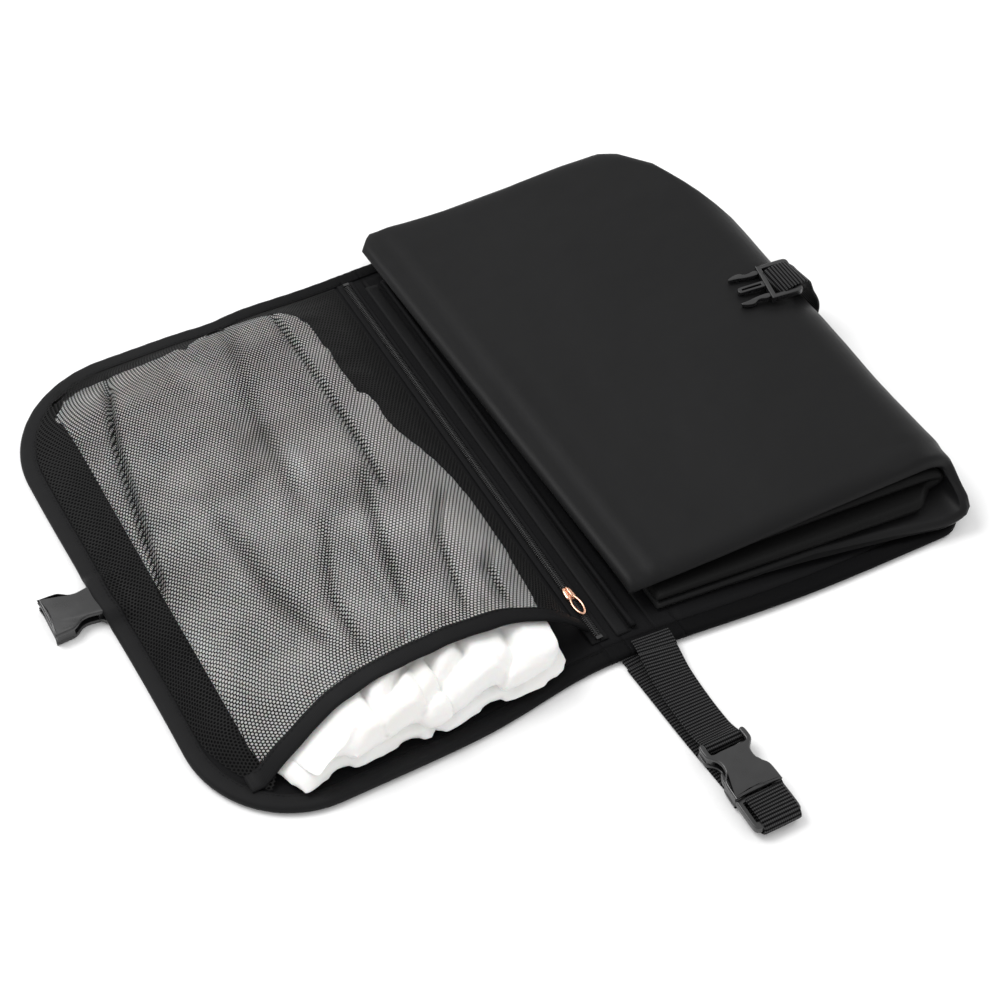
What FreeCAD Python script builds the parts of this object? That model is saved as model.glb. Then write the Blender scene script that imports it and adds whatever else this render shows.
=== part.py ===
import FreeCAD, Part
import math
import os
import re
import Sketcher

# A travel changing clutch, lying open: a soft cover of three panels (flap, spine, base), a folded
# changing pad on the base, a mesh pocket with folded diapers on the flap, a zip beside the spine,
# a closure strap over the pad and a wrist strap with its own buckle at the front.
# Millimetres, +Z up. The origin is the middle of the spine's underside; +X runs from the flap to
# the base and +Y from the front edge to the back.

doc = FreeCAD.newDocument("ChangingClutch")
sheet = doc.addObject("Spreadsheet::Sheet", "Sizes")

SIZES = {
    # cover
    "cover_depth": 336,
    "flap_width": 226,
    "spine_width": 31,
    "base_width": 182,
    "fabric": 0.8,
    "foam": 2.4,
    "cover_thick": 4.0,
    "binding_width": 9.5,
    "binding_wall": 1.0,
    "corner_radius": 54,
    "small_radius": 8,
    "fold_gap": 0.2,
    "pocket_bag": 0.3,
    # folded pad
    "pad_front": -144,
    "pad_depth": 321,
    "pad_skin": 0.6,
    "pad_left_low": 16,
    "pad_left_top": 6.5,
    "pad_right": 189.5,
    "pad_corner": 60,
    # mesh pocket and diapers
    "pocket_left": -230.5,
    "pocket_right": -27.5,
    "pocket_front": -141,
    "mesh_thick": 1.0,
    "mouth_width": 9.5,
    "mouth_thick": 0.9,
    "diaper_front": -158,
    "diaper_low_length": 284,
    "diaper_top_length": 214,
    "diaper_low_thick": 7.4,
    "diaper_top_thick": 8.6,
    # zip
    "zip_x": -20,
    "zip_front": -148,
    "zip_length": 306,
    "tape_width": 4.6,
    "tape_thick": 0.5,
    "coil_width": 1.35,
    "coil_high": 1.4,
    "slider_y": -113.5,
    "slider_length": 9,
    "slider_width": 6,
    "pull_length": 15,
    "pull_width": 5.2,
    # webbing and buckles
    "webbing": 20,
    "webbing_thick": 1.4,
    "tab_thick": 0.8,
    "buckle_width": 27,
    "buckle_high": 8.5,
    "female_length": 33,
    "female_rear": 5.5,
    "male_plate": 10,
    "male_plate_length": 7,
    "male_high": 5,
    "prong_length": 18,
    "prong_width": 2.4,
    "prong_side": 8.1,
    "bar_radius": 1.5,
    "wrist_x": 0.5,
    "wrist_bar_y": -233.8,
    "wrist_lift": 1.6,
    "closure_y": 6,
    "strap_x": 199,
    "strap_top": 40.5,
    "tab_bar_x": -236,
    "tab_bar_radius": 1.2,
}

for row, (alias, value) in enumerate(SIZES.items(), start=1):
    sheet.set(f"A{row}", alias)
    sheet.set(f"B{row}", str(value))
    sheet.setAlias(f"B{row}", alias)
doc.recompute()

ALIASES = re.compile(r"\b(" + "|".join(sorted(SIZES, key=len, reverse=True)) + r")\b")
X_AXIS, Y_AXIS, Z_AXIS = FreeCAD.Vector(1, 0, 0), FreeCAD.Vector(0, 1, 0), FreeCAD.Vector(0, 0, 1)
subparts = []


def size(alias):
    return float(getattr(sheet, alias))


def value_of(formula):
    """The number a formula gives with the sheet's present values."""
    return float(sheet.evalExpression(str(formula)))


def bind(obj, properties):
    """Bind properties to formulas written with the sheet's aliases."""
    for name, formula in properties.items():
        obj.setExpression(name, ALIASES.sub(r"Sizes.\1", str(formula)))


def keep(label, obj):
    """Name an object as a finished sub-part of the clutch."""
    obj.Label = label
    subparts.append(obj)
    return obj


def block(name, x, y, z, length, width, height):
    """A box from its low corner and its sizes, all as formulas."""
    box = doc.addObject("Part::Box", name)
    places = {"Placement.Base.x": x, "Placement.Base.y": y, "Placement.Base.z": z}
    bind(box, {"Length": length, "Width": width, "Height": height, **places})
    return box


def rod(name, radius, length, x, y, z, direction):
    """A cylinder from the centre of its first face, along a direction."""
    cylinder = doc.addObject("Part::Cylinder", name)
    turn = FreeCAD.Rotation(Z_AXIS, direction)
    cylinder.Placement = FreeCAD.Placement(FreeCAD.Vector(), turn)
    places = {"Placement.Base.x": x, "Placement.Base.y": y, "Placement.Base.z": z}
    bind(cylinder, {"Radius": radius, "Height": length, **places})
    return cylinder


def fuse(name, *pieces):
    union = doc.addObject("Part::MultiFuse", name)
    union.Shapes = list(pieces)
    return union


def cut(name, base, *tools):
    """The base with each tool taken away."""
    result = base
    for number, tool in enumerate(tools, start=1):
        step = doc.addObject("Part::Cut", name if number == len(tools) else f"{name}_cut{number}")
        step.Base, step.Tool = result, tool
        result = step
    return result


def origin_plane(body, role):
    return next(f for f in body.Origin.OriginFeatures if f.Role == role)


def outline(body, plane, points):
    """A closed sketch of straight lines through points that are pairs of formulas from its origin."""
    sketch = body.newObject("Sketcher::SketchObject", body.Name + "_outline")
    sketch.AttachmentSupport = (origin_plane(body, plane), [""])
    sketch.MapMode = "FlatFace"
    places = [FreeCAD.Vector(value_of(a), value_of(b), 0) for a, b in points]
    count = len(places)
    for i in range(count):
        sketch.addGeometry(Part.LineSegment(places[i], places[(i + 1) % count]), False)
    for i in range(count):
        sketch.addConstraint(Sketcher.Constraint("Coincident", i, 2, (i + 1) % count, 1))
    for i, formulas in enumerate(points):
        for kind, formula in zip(("DistanceX", "DistanceY"), formulas):
            place = Sketcher.Constraint(kind, -1, 1, i, 1, value_of(formula))
            number = sketch.addConstraint(place)
            bind(sketch, {f"Constraints[{number}]": formula})
    return sketch


def round_corners(body, feature, radius, corners):
    """Fillet the upright edges at the named plan corners, in the body's own frame."""
    doc.recompute()
    box = feature.Shape.BoundBox
    wanted = {
        "front_left": (box.XMin, box.YMin),
        "front_right": (box.XMax, box.YMin),
        "back_left": (box.XMin, box.YMax),
        "back_right": (box.XMax, box.YMax),
    }
    names = []
    for number, edge in enumerate(feature.Shape.Edges, start=1):
        middle = edge.BoundBox.Center
        upright = edge.BoundBox.ZLength > max(edge.BoundBox.XLength, edge.BoundBox.YLength)
        near = any(math.dist((middle.x, middle.y), wanted[c]) < 0.5 for c in corners)
        if upright and near:
            names.append(f"Edge{number}")
    fillet = body.newObject("PartDesign::Fillet", body.Name + "_round")
    fillet.Base = (feature, names)
    bind(fillet, {"Radius": radius})
    body.Tip = fillet
    return fillet


def slab(name, x, y, z, length, width, height, radius="", corners=()):
    """A padded rectangle with some of its plan corners rounded, from its low corner."""
    body = doc.addObject("PartDesign::Body", name)
    points = [("0", "0"), (length, "0"), (length, width), ("0", width)]
    sketch = outline(body, "XY_Plane", points)
    pad = body.newObject("PartDesign::Pad", name + "_pad")
    pad.Profile = sketch
    bind(pad, {"Length": height})
    body.Tip = pad
    if corners:
        round_corners(body, pad, radius, corners)
    bind(body, {"Placement.Base.x": x, "Placement.Base.y": y, "Placement.Base.z": z})
    return body


def wedge(name, x, y, z, length, width, rise, left, right, radius, corners):
    """A slab whose thickness grows from left to right and whose underside rises to the right."""
    body = doc.addObject("PartDesign::Body", name)
    points = [("0", "0"), (length, rise), (length, f"({rise}) + ({right})"), ("0", left)]
    sketch = outline(body, "XZ_Plane", points)
    pad = body.newObject("PartDesign::Pad", name + "_pad")
    pad.Profile = sketch
    pad.Reversed = True
    bind(pad, {"Length": width})
    body.Tip = pad
    round_corners(body, pad, radius, corners)
    bind(body, {"Placement.Base.x": x, "Placement.Base.y": y, "Placement.Base.z": z})
    return body


# --- Cover panels -----------------------------------------------------------------------------

PANELS = {
    # panel: low x, width, bound edges at left and right, rounded corners
    "flap": ("-spine_width / 2 - flap_width", "flap_width - fold_gap", True, False,
             ("front_left", "back_left")),
    "spine": ("-spine_width / 2", "spine_width - fold_gap", False, False, ()),
    "base": ("spine_width / 2", "base_width", False, True, ("front_right", "back_right")),
}


def panel_slab(name, panel, inset, z, height, radius):
    """One layer of a panel, set in from the panel's bound edges."""
    x, width, left, right, corners = PANELS[panel]
    sides = int(left) + int(right)
    low_x = f"{x} + {inset}" if left else x
    return slab(name, low_x, f"-cover_depth / 2 + {inset}", z, f"{width} - {sides} * {inset}",
                f"cover_depth - 2 * {inset}", height, radius, corners)


def cover_panel(panel, radius, notches=(), dents=()):
    """Outer fabric, foam, lining and the binding that wraps their outer edges."""
    inner = f"{radius} - binding_width"
    outer = panel_slab(f"{panel}_outer_cloth", panel, "binding_width", "0", "fabric", inner)
    foam = panel_slab(f"{panel}_foam_core", panel, "binding_wall", "fabric", "foam",
                      f"{radius} - binding_wall")
    bag = "pocket_bag" if panel == "flap" else "0"
    lining = panel_slab(f"{panel}_lining_cloth", panel, "binding_width", f"fabric + foam + {bag}",
                        f"fabric - {bag}", inner)
    full = panel_slab(f"{panel}_edge_full", panel, "0", "0", "cover_thick", radius)
    window = panel_slab(f"{panel}_edge_window", panel, "binding_width", "-1", "cover_thick + 2",
                        inner)
    binding = cut(f"{panel}_edge", full, window, foam, *notches)
    keep(f"{panel}_outer_fabric", cut(f"{panel}_outer", outer, *dents) if dents else outer)
    through = tuple(dents) + tuple(notches)
    keep(f"{panel}_foam", cut(f"{panel}_foam_sheet", foam, *through) if through else foam)
    keep(f"{panel}_lining", lining)
    keep(f"{panel}_binding", binding)


def flap_panel():
    """The flap, with a notch in its edge and a dent underneath for the closure buckle's tab."""
    notch = block("tab_notch", "-spine_width / 2 - flap_width - 1", "-buckle_width / 2 - 1", "-1",
                  "9.5", "buckle_width + 2", "cover_thick + 2")
    dent = block("tab_dent", "-spine_width / 2 - flap_width + 8", "-webbing / 2 - 0.5", "-1",
                 "38", "webbing + 1", "1 + 2 * tab_thick + 0.1")
    cover_panel("flap", "corner_radius", (notch, dent), (dent,))
    bag = panel_slab("pocket_bag_cloth", "flap", "binding_width", "fabric + foam", "pocket_bag",
                     "corner_radius - binding_width")
    keep("zip_pocket_bag", bag)


def spine_panel():
    """The spine, with a slot in its front seam for the lower end of the wrist strap."""
    slot = block("wrist_slot", "-14.7", "-cover_depth / 2 - 1", "fabric", "webbing + 0.4", "13.2",
                 "webbing_thick + 0.1")
    cover_panel("spine", "0", (slot,))


def base_panel():
    """The base, with a slot in its right seam for the root of the closure strap."""
    slot = block("closure_slot", "spine_width / 2 + base_width - 12", "closure_y - webbing / 2 - 0.2",
                 "fabric", "13", "webbing + 0.4", "webbing_thick + 0.1")
    cover_panel("base", "small_radius * 2", (slot,))


def spine_trim():
    """The flat facing strip and the corded piping that run along the spine's inside."""
    length = "cover_depth - 42"
    keep("spine_facing_strip", block("spine_facing", "-10.8", "-148", "cover_thick", "3.3", length,
                                     "1.2"))
    keep("spine_piping", rod("spine_cord", "1.9", length, "0", "-148", "cover_thick + 1.95",
                             Y_AXIS))


# --- Folded changing pad ----------------------------------------------------------------------

PLIES = [
    # ply, left edge, underside at left, rise to the right, thickness at left, at right
    ("bottom", "pad_left_low", "4.2", "0.1", "4.2", "8.2"),
    ("lower_middle", "pad_left_low", "8.7", "4.1", "4.0", "8.6"),
    ("upper_middle", "pad_left_top", "13.7", "8.8", "3.2", "7.5"),
    ("top", "pad_left_top", "17.1", "13.3", "3.2", "8.0"),
]
PLY_CORNERS = ("front_left", "front_right", "back_left")


def pad_ply(ply, left, underside, rise, thin, thick):
    """One quarter of the folded pad: a sewn cover round a sheet of foam."""
    length = f"pad_right - {left}"
    outer = ply_solid(f"{ply}_outer", left, underside, length, rise, thin, thick, "0")
    inner = ply_solid(f"{ply}_inner", left, underside, length, rise, thin, thick, "pad_skin")
    keep(f"pad_{ply}_foam", inner)
    keep(f"pad_{ply}_cover", cut(f"{ply}_cover_shell", outer, inner))


def ply_solid(name, left, underside, length, rise, thin, thick, skin):
    """A ply's wedge, shrunk by skin on every side, with the big cut corner at the back right."""
    body = wedge(name, f"{left} + {skin}", f"pad_front + {skin}", f"{underside} + {skin}",
                 f"{length} - 2 * {skin}", f"pad_depth - 2 * {skin}", rise,
                 f"{thin} - 2 * {skin}", f"{thick} - 2 * {skin}", f"small_radius - {skin}",
                 PLY_CORNERS)
    round_corners(body, body.Tip, f"pad_corner - {skin}", ("back_right",))
    return body


# --- Mesh pocket and diapers ------------------------------------------------------------------

POCKET_STATIONS = [
    # distance back from the mouth, height, how far the left side pulls in
    (0, 34.0, 0),
    (201, 29.5, 0),
    (262, 21.0, 4),
    (298, 5.8, 16),
]
POCKET_PROFILE = [
    # distance from the left seam, share of the height
    (0, 0.0),
    (10, 0.62),
    (45, 0.9),
    (110, 1.0),
    (161, 0.85),
    (188, 0.42),
    (203, 0.0),
]


def pocket_section(y, height, pull_in, shrink):
    """The corners of the pocket's cross-section at one station, shrunk by a thickness."""
    floor = size("cover_thick") + 0.05
    left = size("pocket_left")
    span = size("pocket_right") - left
    points = []
    for across, share in POCKET_PROFILE:
        from_right = 1 - across / span
        x = left + across + pull_in * from_right + shrink * 1.3 * (2 * from_right - 1)
        top = floor + (height - floor) * share - shrink
        points.append(FreeCAD.Vector(x, y, max(top, floor)))
    return points


def faceted(sections):
    """A closed solid of flat triangles through cross-sections with the same number of corners."""
    faces = [Part.Face(Part.makePolygon(s + s[:1])) for s in (sections[0], sections[-1])]
    for near, far in zip(sections, sections[1:]):
        for i in range(len(near)):
            j = (i + 1) % len(near)
            for corners in ((near[i], near[j], far[j]), (near[i], far[j], far[i])):
                faces.append(Part.Face(Part.makePolygon([*corners, corners[0]])))
    return Part.makeSolid(Part.makeShell(faces))


def pocket_solid(shrink, start, end):
    """The pocket's outside, or its inside when shrunk, moved out at the front and in at the back."""
    front = size("pocket_front")
    sections = []
    for number, (back, height, pull_in) in enumerate(POCKET_STATIONS):
        shift = start if number == 0 else end if number == len(POCKET_STATIONS) - 1 else 0
        sections.append(pocket_section(front + back + shift, height, pull_in, shrink))
    return faceted(sections)


def mesh_pocket():
    """The domed mesh panel, open at the front, and the binding along its mouth."""
    thick, band, lip = size("mesh_thick"), size("mouth_width"), size("mouth_thick")
    outside = pocket_solid(0, 0, 0)
    panel = doc.addObject("Part::Feature", "mesh_panel")
    panel.Shape = outside.cut(pocket_solid(thick, -1, -3))
    keep("mesh_pocket_panel", panel)
    height = POCKET_STATIONS[0][1]
    mouth_y = size("pocket_front") - band / 2
    rings = []
    for shrink in (-lip, thick):
        near, far = (pocket_section(y, height, 0, shrink) for y in (mouth_y, mouth_y + band))
        rings.append(faceted([near, far]))
    mouth = doc.addObject("Part::Feature", "mouth_band")
    mouth.Shape = rings[0].cut(rings[1]).cut(outside)
    keep("mesh_mouth_binding", mouth)


def diapers():
    """Four folded diapers in two layers: two side by side on the lining and two on top of them."""
    low_z, top_z = "cover_thick + 0.3", "cover_thick + 0.7 + diaper_low_thick"
    layout = [
        ("lower_left", "-207", "79", low_z, "diaper_low_length", "diaper_low_thick"),
        ("lower_right", "-124", "72", low_z, "diaper_low_length", "diaper_low_thick"),
        ("upper_left", "-184", "62", top_z, "diaper_top_length", "diaper_top_thick"),
        ("upper_right", "-118", "51", top_z, "diaper_top_length", "diaper_top_thick"),
    ]
    for place, x, width, z, length, thick in layout:
        solid = slab(f"{place}_diaper", x, "diaper_front", z, width, length, thick, "14",
                     ("front_left", "front_right", "back_left", "back_right"))
        keep(f"diaper_{place}", solid)


# --- Zip --------------------------------------------------------------------------------------

def zip_chain():
    """Two tapes, the two halves of the coil, and a stop at each end, beside the spine."""
    tape_z, coil_z = "cover_thick", "cover_thick + tape_thick"
    for side, tape_x, coil_x in (
        ("left", "zip_x - 0.4 - tape_width", "zip_x - 0.05 - coil_width"),
        ("right", "zip_x + 0.05", "zip_x + 0.05"),
    ):
        width = "tape_width" if side == "left" else "tape_width - 0.3"
        keep(f"zip_tape_{side}", block(f"tape_{side}", tape_x, "zip_front", tape_z, width,
                                       "zip_length", "tape_thick"))
        keep(f"zip_coil_{side}", block(f"coil_{side}", coil_x, "zip_front + 3", coil_z,
                                       "coil_width", "zip_length - 6", "coil_high"))
    for end, y in (("front", "zip_front + 1"), ("back", "zip_front + zip_length - 3")):
        keep(f"zip_stop_{end}", block(f"stop_{end}", "zip_x - 1.8", y, coil_z, "3.6", "1.9",
                                      "1.9"))


def zip_slider():
    """The slider: a plate over the coil with side flanges and a bridge for the pull."""
    low_y, low_x = "slider_y - slider_length / 2", "zip_x - slider_width / 2"
    roof_z = "cover_thick + tape_thick + coil_high + 0.15"
    roof = block("slider_roof", low_x, low_y, roof_z, "slider_width", "slider_length", "0.7")
    pieces = [roof]
    for side, x in (("left", low_x), ("right", f"{low_x} + slider_width - 0.7")):
        pieces.append(block(f"slider_flange_{side}", x, low_y, "cover_thick + tape_thick + 0.1",
                            "0.7", "slider_length", "coil_high + 0.3"))
    for post, y in (("front", f"{low_y} + 0.5"), ("back", f"{low_y} + 6.4")):
        pieces.append(block(f"slider_post_{post}", "zip_x - 0.7", y, roof_z, "1.4", "1.0", "2.6"))
    pieces.append(block("slider_bridge", "zip_x - 0.7", f"{low_y} + 0.5", f"{roof_z} + 1.9", "1.4",
                        "6.9", "0.7"))
    keep("zip_slider", fuse("slider_body", *pieces))


def zip_pull():
    """The pull: a pin under the slider's bridge, two arms and a tab with a slot in it."""
    pin_y = "slider_y - slider_length / 2 + 2.3"
    pin_z = "cover_thick + tape_thick + coil_high + 1.5"
    half = "pull_width / 2"
    pieces = [rod("pull_pin", "0.45", "pull_width", f"zip_x - {half}", pin_y, pin_z, X_AXIS)]
    for side, x in (("left", f"zip_x - {half}"), ("right", f"zip_x + {half} - 1.2")):
        pieces.append(block(f"pull_arm_{side}", x, f"{pin_y} - 6", f"{pin_z} - 0.45", "1.2", "6.4",
                            "0.9"))
    tab = block("pull_tab", f"zip_x - {half}", f"{pin_y} - pull_length", f"{pin_z} - 0.45",
                "pull_width", "pull_length - 5.5", "0.9")
    slot = block("pull_slot", "zip_x - 1.1", f"{pin_y} - pull_length + 1.6", f"{pin_z} - 1", "2.2",
                 "pull_length - 10", "2")
    pieces.append(cut("pull_plate", tab, slot))
    keep("zip_pull", fuse("pull_body", *pieces))


# --- Buckles ----------------------------------------------------------------------------------

def turned(label, shape_object, placement):
    """A sub-part made in its own frame and then put in place, as one compound-free solid."""
    link = doc.addObject("Part::Refine", label + "_placed")
    link.Source = shape_object
    link.Placement = placement
    return keep(label, link)


def female_half(name, bar_z, bar_radius):
    """Female buckle half: bar along Y at x 0, mouth facing +X. Hollow, with side windows."""
    half = "buckle_width / 2"
    hollow_wide = "2 * (prong_side + prong_width) + 0.8"
    shell = block(f"{name}_shell", "female_rear", f"-{half}", "0", "female_length - female_rear",
                  "buckle_width", "buckle_high")
    hollow = block(f"{name}_hollow", "female_length - prong_length - 1.5", f"-({hollow_wide}) / 2",
                   "1.5", "prong_length + 3", hollow_wide, "buckle_high - 3")
    window = block(f"{name}_windows", "female_length - prong_length - 1", f"-{half} - 1", "1.8",
                   "11", "buckle_width + 2", "buckle_high - 3.6")
    waists = [rod(f"{name}_waist_{side}", "14", "buckle_high + 2", "female_length - 15", y, "-1",
                  Z_AXIS) for side, y in (("a", f"{half} + 11.6"), ("b", f"-{half} - 11.6"))]
    housing = cut(f"{name}_housing", shell, hollow, window, *waists)
    pieces = [housing]
    for side, y in (("a", "webbing / 2 + 0.3"), ("b", f"-{half}")):
        pieces.append(block(f"{name}_arm_{side}", "-1.8", y, f"{bar_z} - 1.5",
                            "female_rear + 2", f"{half} - webbing / 2 - 0.3", "3"))
    pieces.append(rod(f"{name}_bar", bar_radius, "buckle_width - 2", "0", f"-{half} + 1", bar_z,
                      Y_AXIS))
    return fuse(f"{name}_body", *pieces)


def male_frame(name):
    """Male buckle half without its prongs: bar along Y at x 0, centre guide pointing to +X."""
    half = "buckle_width / 2"
    plate = block(f"{name}_plate", "male_plate", f"-{half}", "0", "male_plate_length",
                  "buckle_width", "male_high")
    guide = block(f"{name}_guide", "male_plate", "-1.4", "1.2", "male_plate_length + 16", "2.8",
                  "male_high - 2.4")
    pieces = [plate, guide]
    for side, y in (("a", "webbing / 2 + 0.3"), ("b", f"-{half}")):
        pieces.append(block(f"{name}_arm_{side}", "-1.8", y, "0.8", "male_plate + 2",
                            f"{half} - webbing / 2 - 0.3", "male_high - 1.6"))
    pieces.append(rod(f"{name}_bar", "bar_radius", "buckle_width - 2", "0", f"-{half} + 1",
                      "male_high / 2", Y_AXIS))
    return fuse(f"{name}_body", *pieces)


def prong(name, side):
    """One springy prong of a male half, with its catch head outwards; side is 1 or -1 along Y."""
    root = "male_plate + male_plate_length + 0.05"
    y = "prong_side" if side > 0 else "-prong_side - prong_width"
    head_y = "prong_side + 0.4" if side > 0 else "-prong_side - 4.4"
    stem = block(f"{name}_stem", root, y, "1.2", "prong_length - 0.05", "prong_width",
                 "male_high - 2.4")
    head = block(f"{name}_head", f"{root} + 8.6", head_y, "1.2", "6.5", "4", "male_high - 2.4")
    return fuse(f"{name}_body", stem, head)


def webbing_loop(name, x, y, z, radius, thick, direction):
    """The turn of webbing round a buckle bar: a short tube as wide as the webbing."""
    outer = rod(f"{name}_outer", f"{radius} + 0.1 + {thick}", "webbing", x, y, z, direction)
    inner = rod(f"{name}_inner", f"{radius} + 0.1", "webbing", x, y, z, direction)
    return cut(name, outer, inner)


# --- Wrist strap ------------------------------------------------------------------------------

def wrist_strap():
    """Two runs of webbing joined in front of the cover by a closed side-release buckle."""
    front = "-cover_depth / 2"
    keep("wrist_webbing_root_upper", block("root_upper", "-5.5", front, "cover_thick", "webbing",
                                           "18", "webbing_thick"))
    keep("wrist_webbing_root_lower", block("root_lower", "-14.5", front, "fabric", "webbing", "12",
                                           "webbing_thick"))
    low_x = "wrist_x - webbing / 2"
    bar_z = "wrist_lift + buckle_high / 2"
    loop = webbing_loop("upper_loop", low_x, "wrist_bar_y", bar_z, "bar_radius", "webbing_thick",
                        X_AXIS)
    run = block("upper_run", low_x, "wrist_bar_y + 2", "cover_thick", "webbing",
                f"({front}) - wrist_bar_y - 2.6", "webbing_thick")
    keep("wrist_webbing_upper", fuse("upper_webbing", run, loop))

    male_y = "wrist_bar_y - female_length - male_plate - male_plate_length - 0.2"
    male_z = "wrist_lift + (buckle_high - male_high) / 2"
    turn_z = f"{male_z} + male_high / 2"
    far = webbing_loop("lower_loop", low_x, male_y, turn_z, "bar_radius", "webbing_thick", X_AXIS)
    run_low = block("lower_run", low_x, f"{male_y} - 1.2", "0", "webbing",
                    f"({front}) - ({male_y}) + 0.6", "webbing_thick")
    riser = block("lower_riser", low_x, f"{male_y} - 3", "0", "webbing", "webbing_thick",
                  f"{turn_z}")
    keep("wrist_webbing_lower", fuse("lower_webbing", run_low, riser, far))

    to_front = FreeCAD.Rotation(Z_AXIS, -90)
    to_back = FreeCAD.Rotation(Z_AXIS, 90)
    female_at = FreeCAD.Vector(size("wrist_x"), size("wrist_bar_y"), size("wrist_lift"))
    male_at = FreeCAD.Vector(size("wrist_x"), value_of(male_y), value_of(male_z))
    turned("wrist_buckle_female", female_half("wrist_female", "buckle_high / 2", "bar_radius"),
           FreeCAD.Placement(female_at, to_front))
    place = FreeCAD.Placement(male_at, to_back)
    turned("wrist_buckle_male", male_frame("wrist_male"), place)
    for word, side in (("left", 1), ("right", -1)):
        turned(f"wrist_buckle_prong_{word}", prong(f"wrist_prong_{word}", side), place)


# --- Closure strap and its two buckle halves --------------------------------------------------

def closure_strap():
    """Webbing that leaves the base's right edge, climbs the pad's fold and ends in a male half."""
    low_y = "closure_y - webbing / 2"
    edge = "spine_width / 2 + base_width"
    keep("closure_webbing_root", block("closure_root", f"{edge} - 11.5", low_y, "fabric", "11.5",
                                       "webbing", "webbing_thick"))
    keep("closure_webbing_rise", block("closure_rise", "strap_x - webbing_thick / 2", low_y, "2.4",
                                       "webbing_thick", "webbing", "strap_top - 8.4"))

    slope = math.degrees(math.atan2(18.1, size("pad_right") - size("pad_left_top")))
    yaw = FreeCAD.Rotation(Z_AXIS, 170)
    lean = FreeCAD.Rotation(Y_AXIS, -slope)
    bar_at = FreeCAD.Vector(195, size("closure_y"), 39.3)
    place = FreeCAD.Placement(bar_at, lean.multiply(yaw))
    turned("closure_buckle_male", male_frame("closure_male"), place)
    for word, side in (("left", 1), ("right", -1)):
        turned(f"closure_buckle_prong_{word}", prong(f"closure_prong_{word}", side), place)
    loop = webbing_loop("closure_loop", "0", "-webbing / 2", "male_high / 2", "bar_radius",
                        "webbing_thick", Y_AXIS)
    tail = block("closure_tail", "-4.3", "-webbing / 2", "male_high / 2 - 0.4", "2.6", "webbing",
                 "webbing_thick")
    turned("closure_webbing_end", fuse("closure_end", loop, tail), place)


def closure_tab():
    """The webbing tab under the flap's edge and the female half that hangs from it."""
    bar_z = "tab_bar_radius + 0.1 + tab_thick"
    loop = webbing_loop("tab_loop", "tab_bar_x", "-webbing / 2", bar_z, "tab_bar_radius",
                        "tab_thick", Y_AXIS)
    tail = block("tab_tail", "tab_bar_x + 1.4", "-webbing / 2", "0", "34", "webbing",
                 "2 * tab_thick")
    keep("closure_tab_webbing", fuse("tab_webbing", loop, tail))
    at = FreeCAD.Vector(size("tab_bar_x"), 0, 0)
    half = female_half("closure_female", bar_z, "tab_bar_radius")
    turned("closure_buckle_female", half, FreeCAD.Placement(at, FreeCAD.Rotation(Z_AXIS, 180)))


def build():
    flap_panel()
    spine_panel()
    base_panel()
    spine_trim()
    for ply in PLIES:
        pad_ply(*ply)
    mesh_pocket()
    diapers()
    zip_chain()
    zip_slider()
    zip_pull()
    wrist_strap()
    closure_strap()
    closure_tab()


def check():
    """Stop unless every object is up to date and every sub-part is a valid solid."""
    for obj in doc.Objects:
        if {"Invalid", "Error"} & set(obj.State):
            raise RuntimeError(f"{obj.Label}: {obj.State}")
    for obj in subparts:
        if obj.Shape.isNull() or not obj.Shape.isValid() or not obj.Shape.Solids:
            raise RuntimeError(f"{obj.Label} is not a valid solid")


def write():
    os.makedirs("parts", exist_ok=True)
    for obj in subparts:
        obj.Shape.exportStep(f"parts/{obj.Label}.step")
        box = obj.Shape.BoundBox
        print(f"{obj.Label:28s} x {box.XMin:7.1f}..{box.XMax:7.1f}  y {box.YMin:7.1f}..{box.YMax:7.1f}"
              f"  z {box.ZMin:6.2f}..{box.ZMax:6.2f}  {obj.Shape.Volume / 1000:8.2f} cm3")


build()
doc.recompute()
check()
write()
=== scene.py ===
import math

import bmesh
import bpy
from mathutils import Matrix, Vector, noise


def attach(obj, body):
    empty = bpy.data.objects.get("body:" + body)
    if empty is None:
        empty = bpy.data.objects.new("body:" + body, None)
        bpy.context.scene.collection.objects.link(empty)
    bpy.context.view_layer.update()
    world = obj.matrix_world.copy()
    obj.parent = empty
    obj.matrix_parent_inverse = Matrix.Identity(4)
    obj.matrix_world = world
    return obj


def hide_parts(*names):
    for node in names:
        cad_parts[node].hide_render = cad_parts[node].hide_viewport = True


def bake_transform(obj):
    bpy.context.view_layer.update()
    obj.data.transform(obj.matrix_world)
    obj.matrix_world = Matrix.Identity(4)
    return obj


# A travel changing clutch, lying open. Lengths in this file are millimetres and become metres when
# a mesh is made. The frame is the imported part's: +X from the flap to the base, +Y to the back.

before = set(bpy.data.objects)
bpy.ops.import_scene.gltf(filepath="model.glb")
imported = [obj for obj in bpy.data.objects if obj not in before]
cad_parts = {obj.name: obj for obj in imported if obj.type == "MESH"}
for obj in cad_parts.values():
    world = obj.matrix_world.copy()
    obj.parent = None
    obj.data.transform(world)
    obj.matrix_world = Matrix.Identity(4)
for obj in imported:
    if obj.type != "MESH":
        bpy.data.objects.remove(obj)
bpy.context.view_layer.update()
MM = 0.001

# The cover: its far left and right, half its width, how far the binding reaches in and where its
# seam runs, the fold lines either side of the middle, and half the width that bends at each.
FLAP_LEFT, BASE_RIGHT = -241.5, 197.5
EDGE_Y = 168.0
BINDING, SEAM = 9.5, 7.9
FOLD_X, STRIP = 15.5, 6.0
FLAP_MIDDLE, BASE_MIDDLE = (-120, 0), (90, 0)
# Lowest and highest point of the cover's two layers, and the height of the binding's top.
OUTER_LAYER, LINING_LAYER = (0.15, 3.3), (3.35, 4.0)
BINDING_TOP = 4.85
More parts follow.
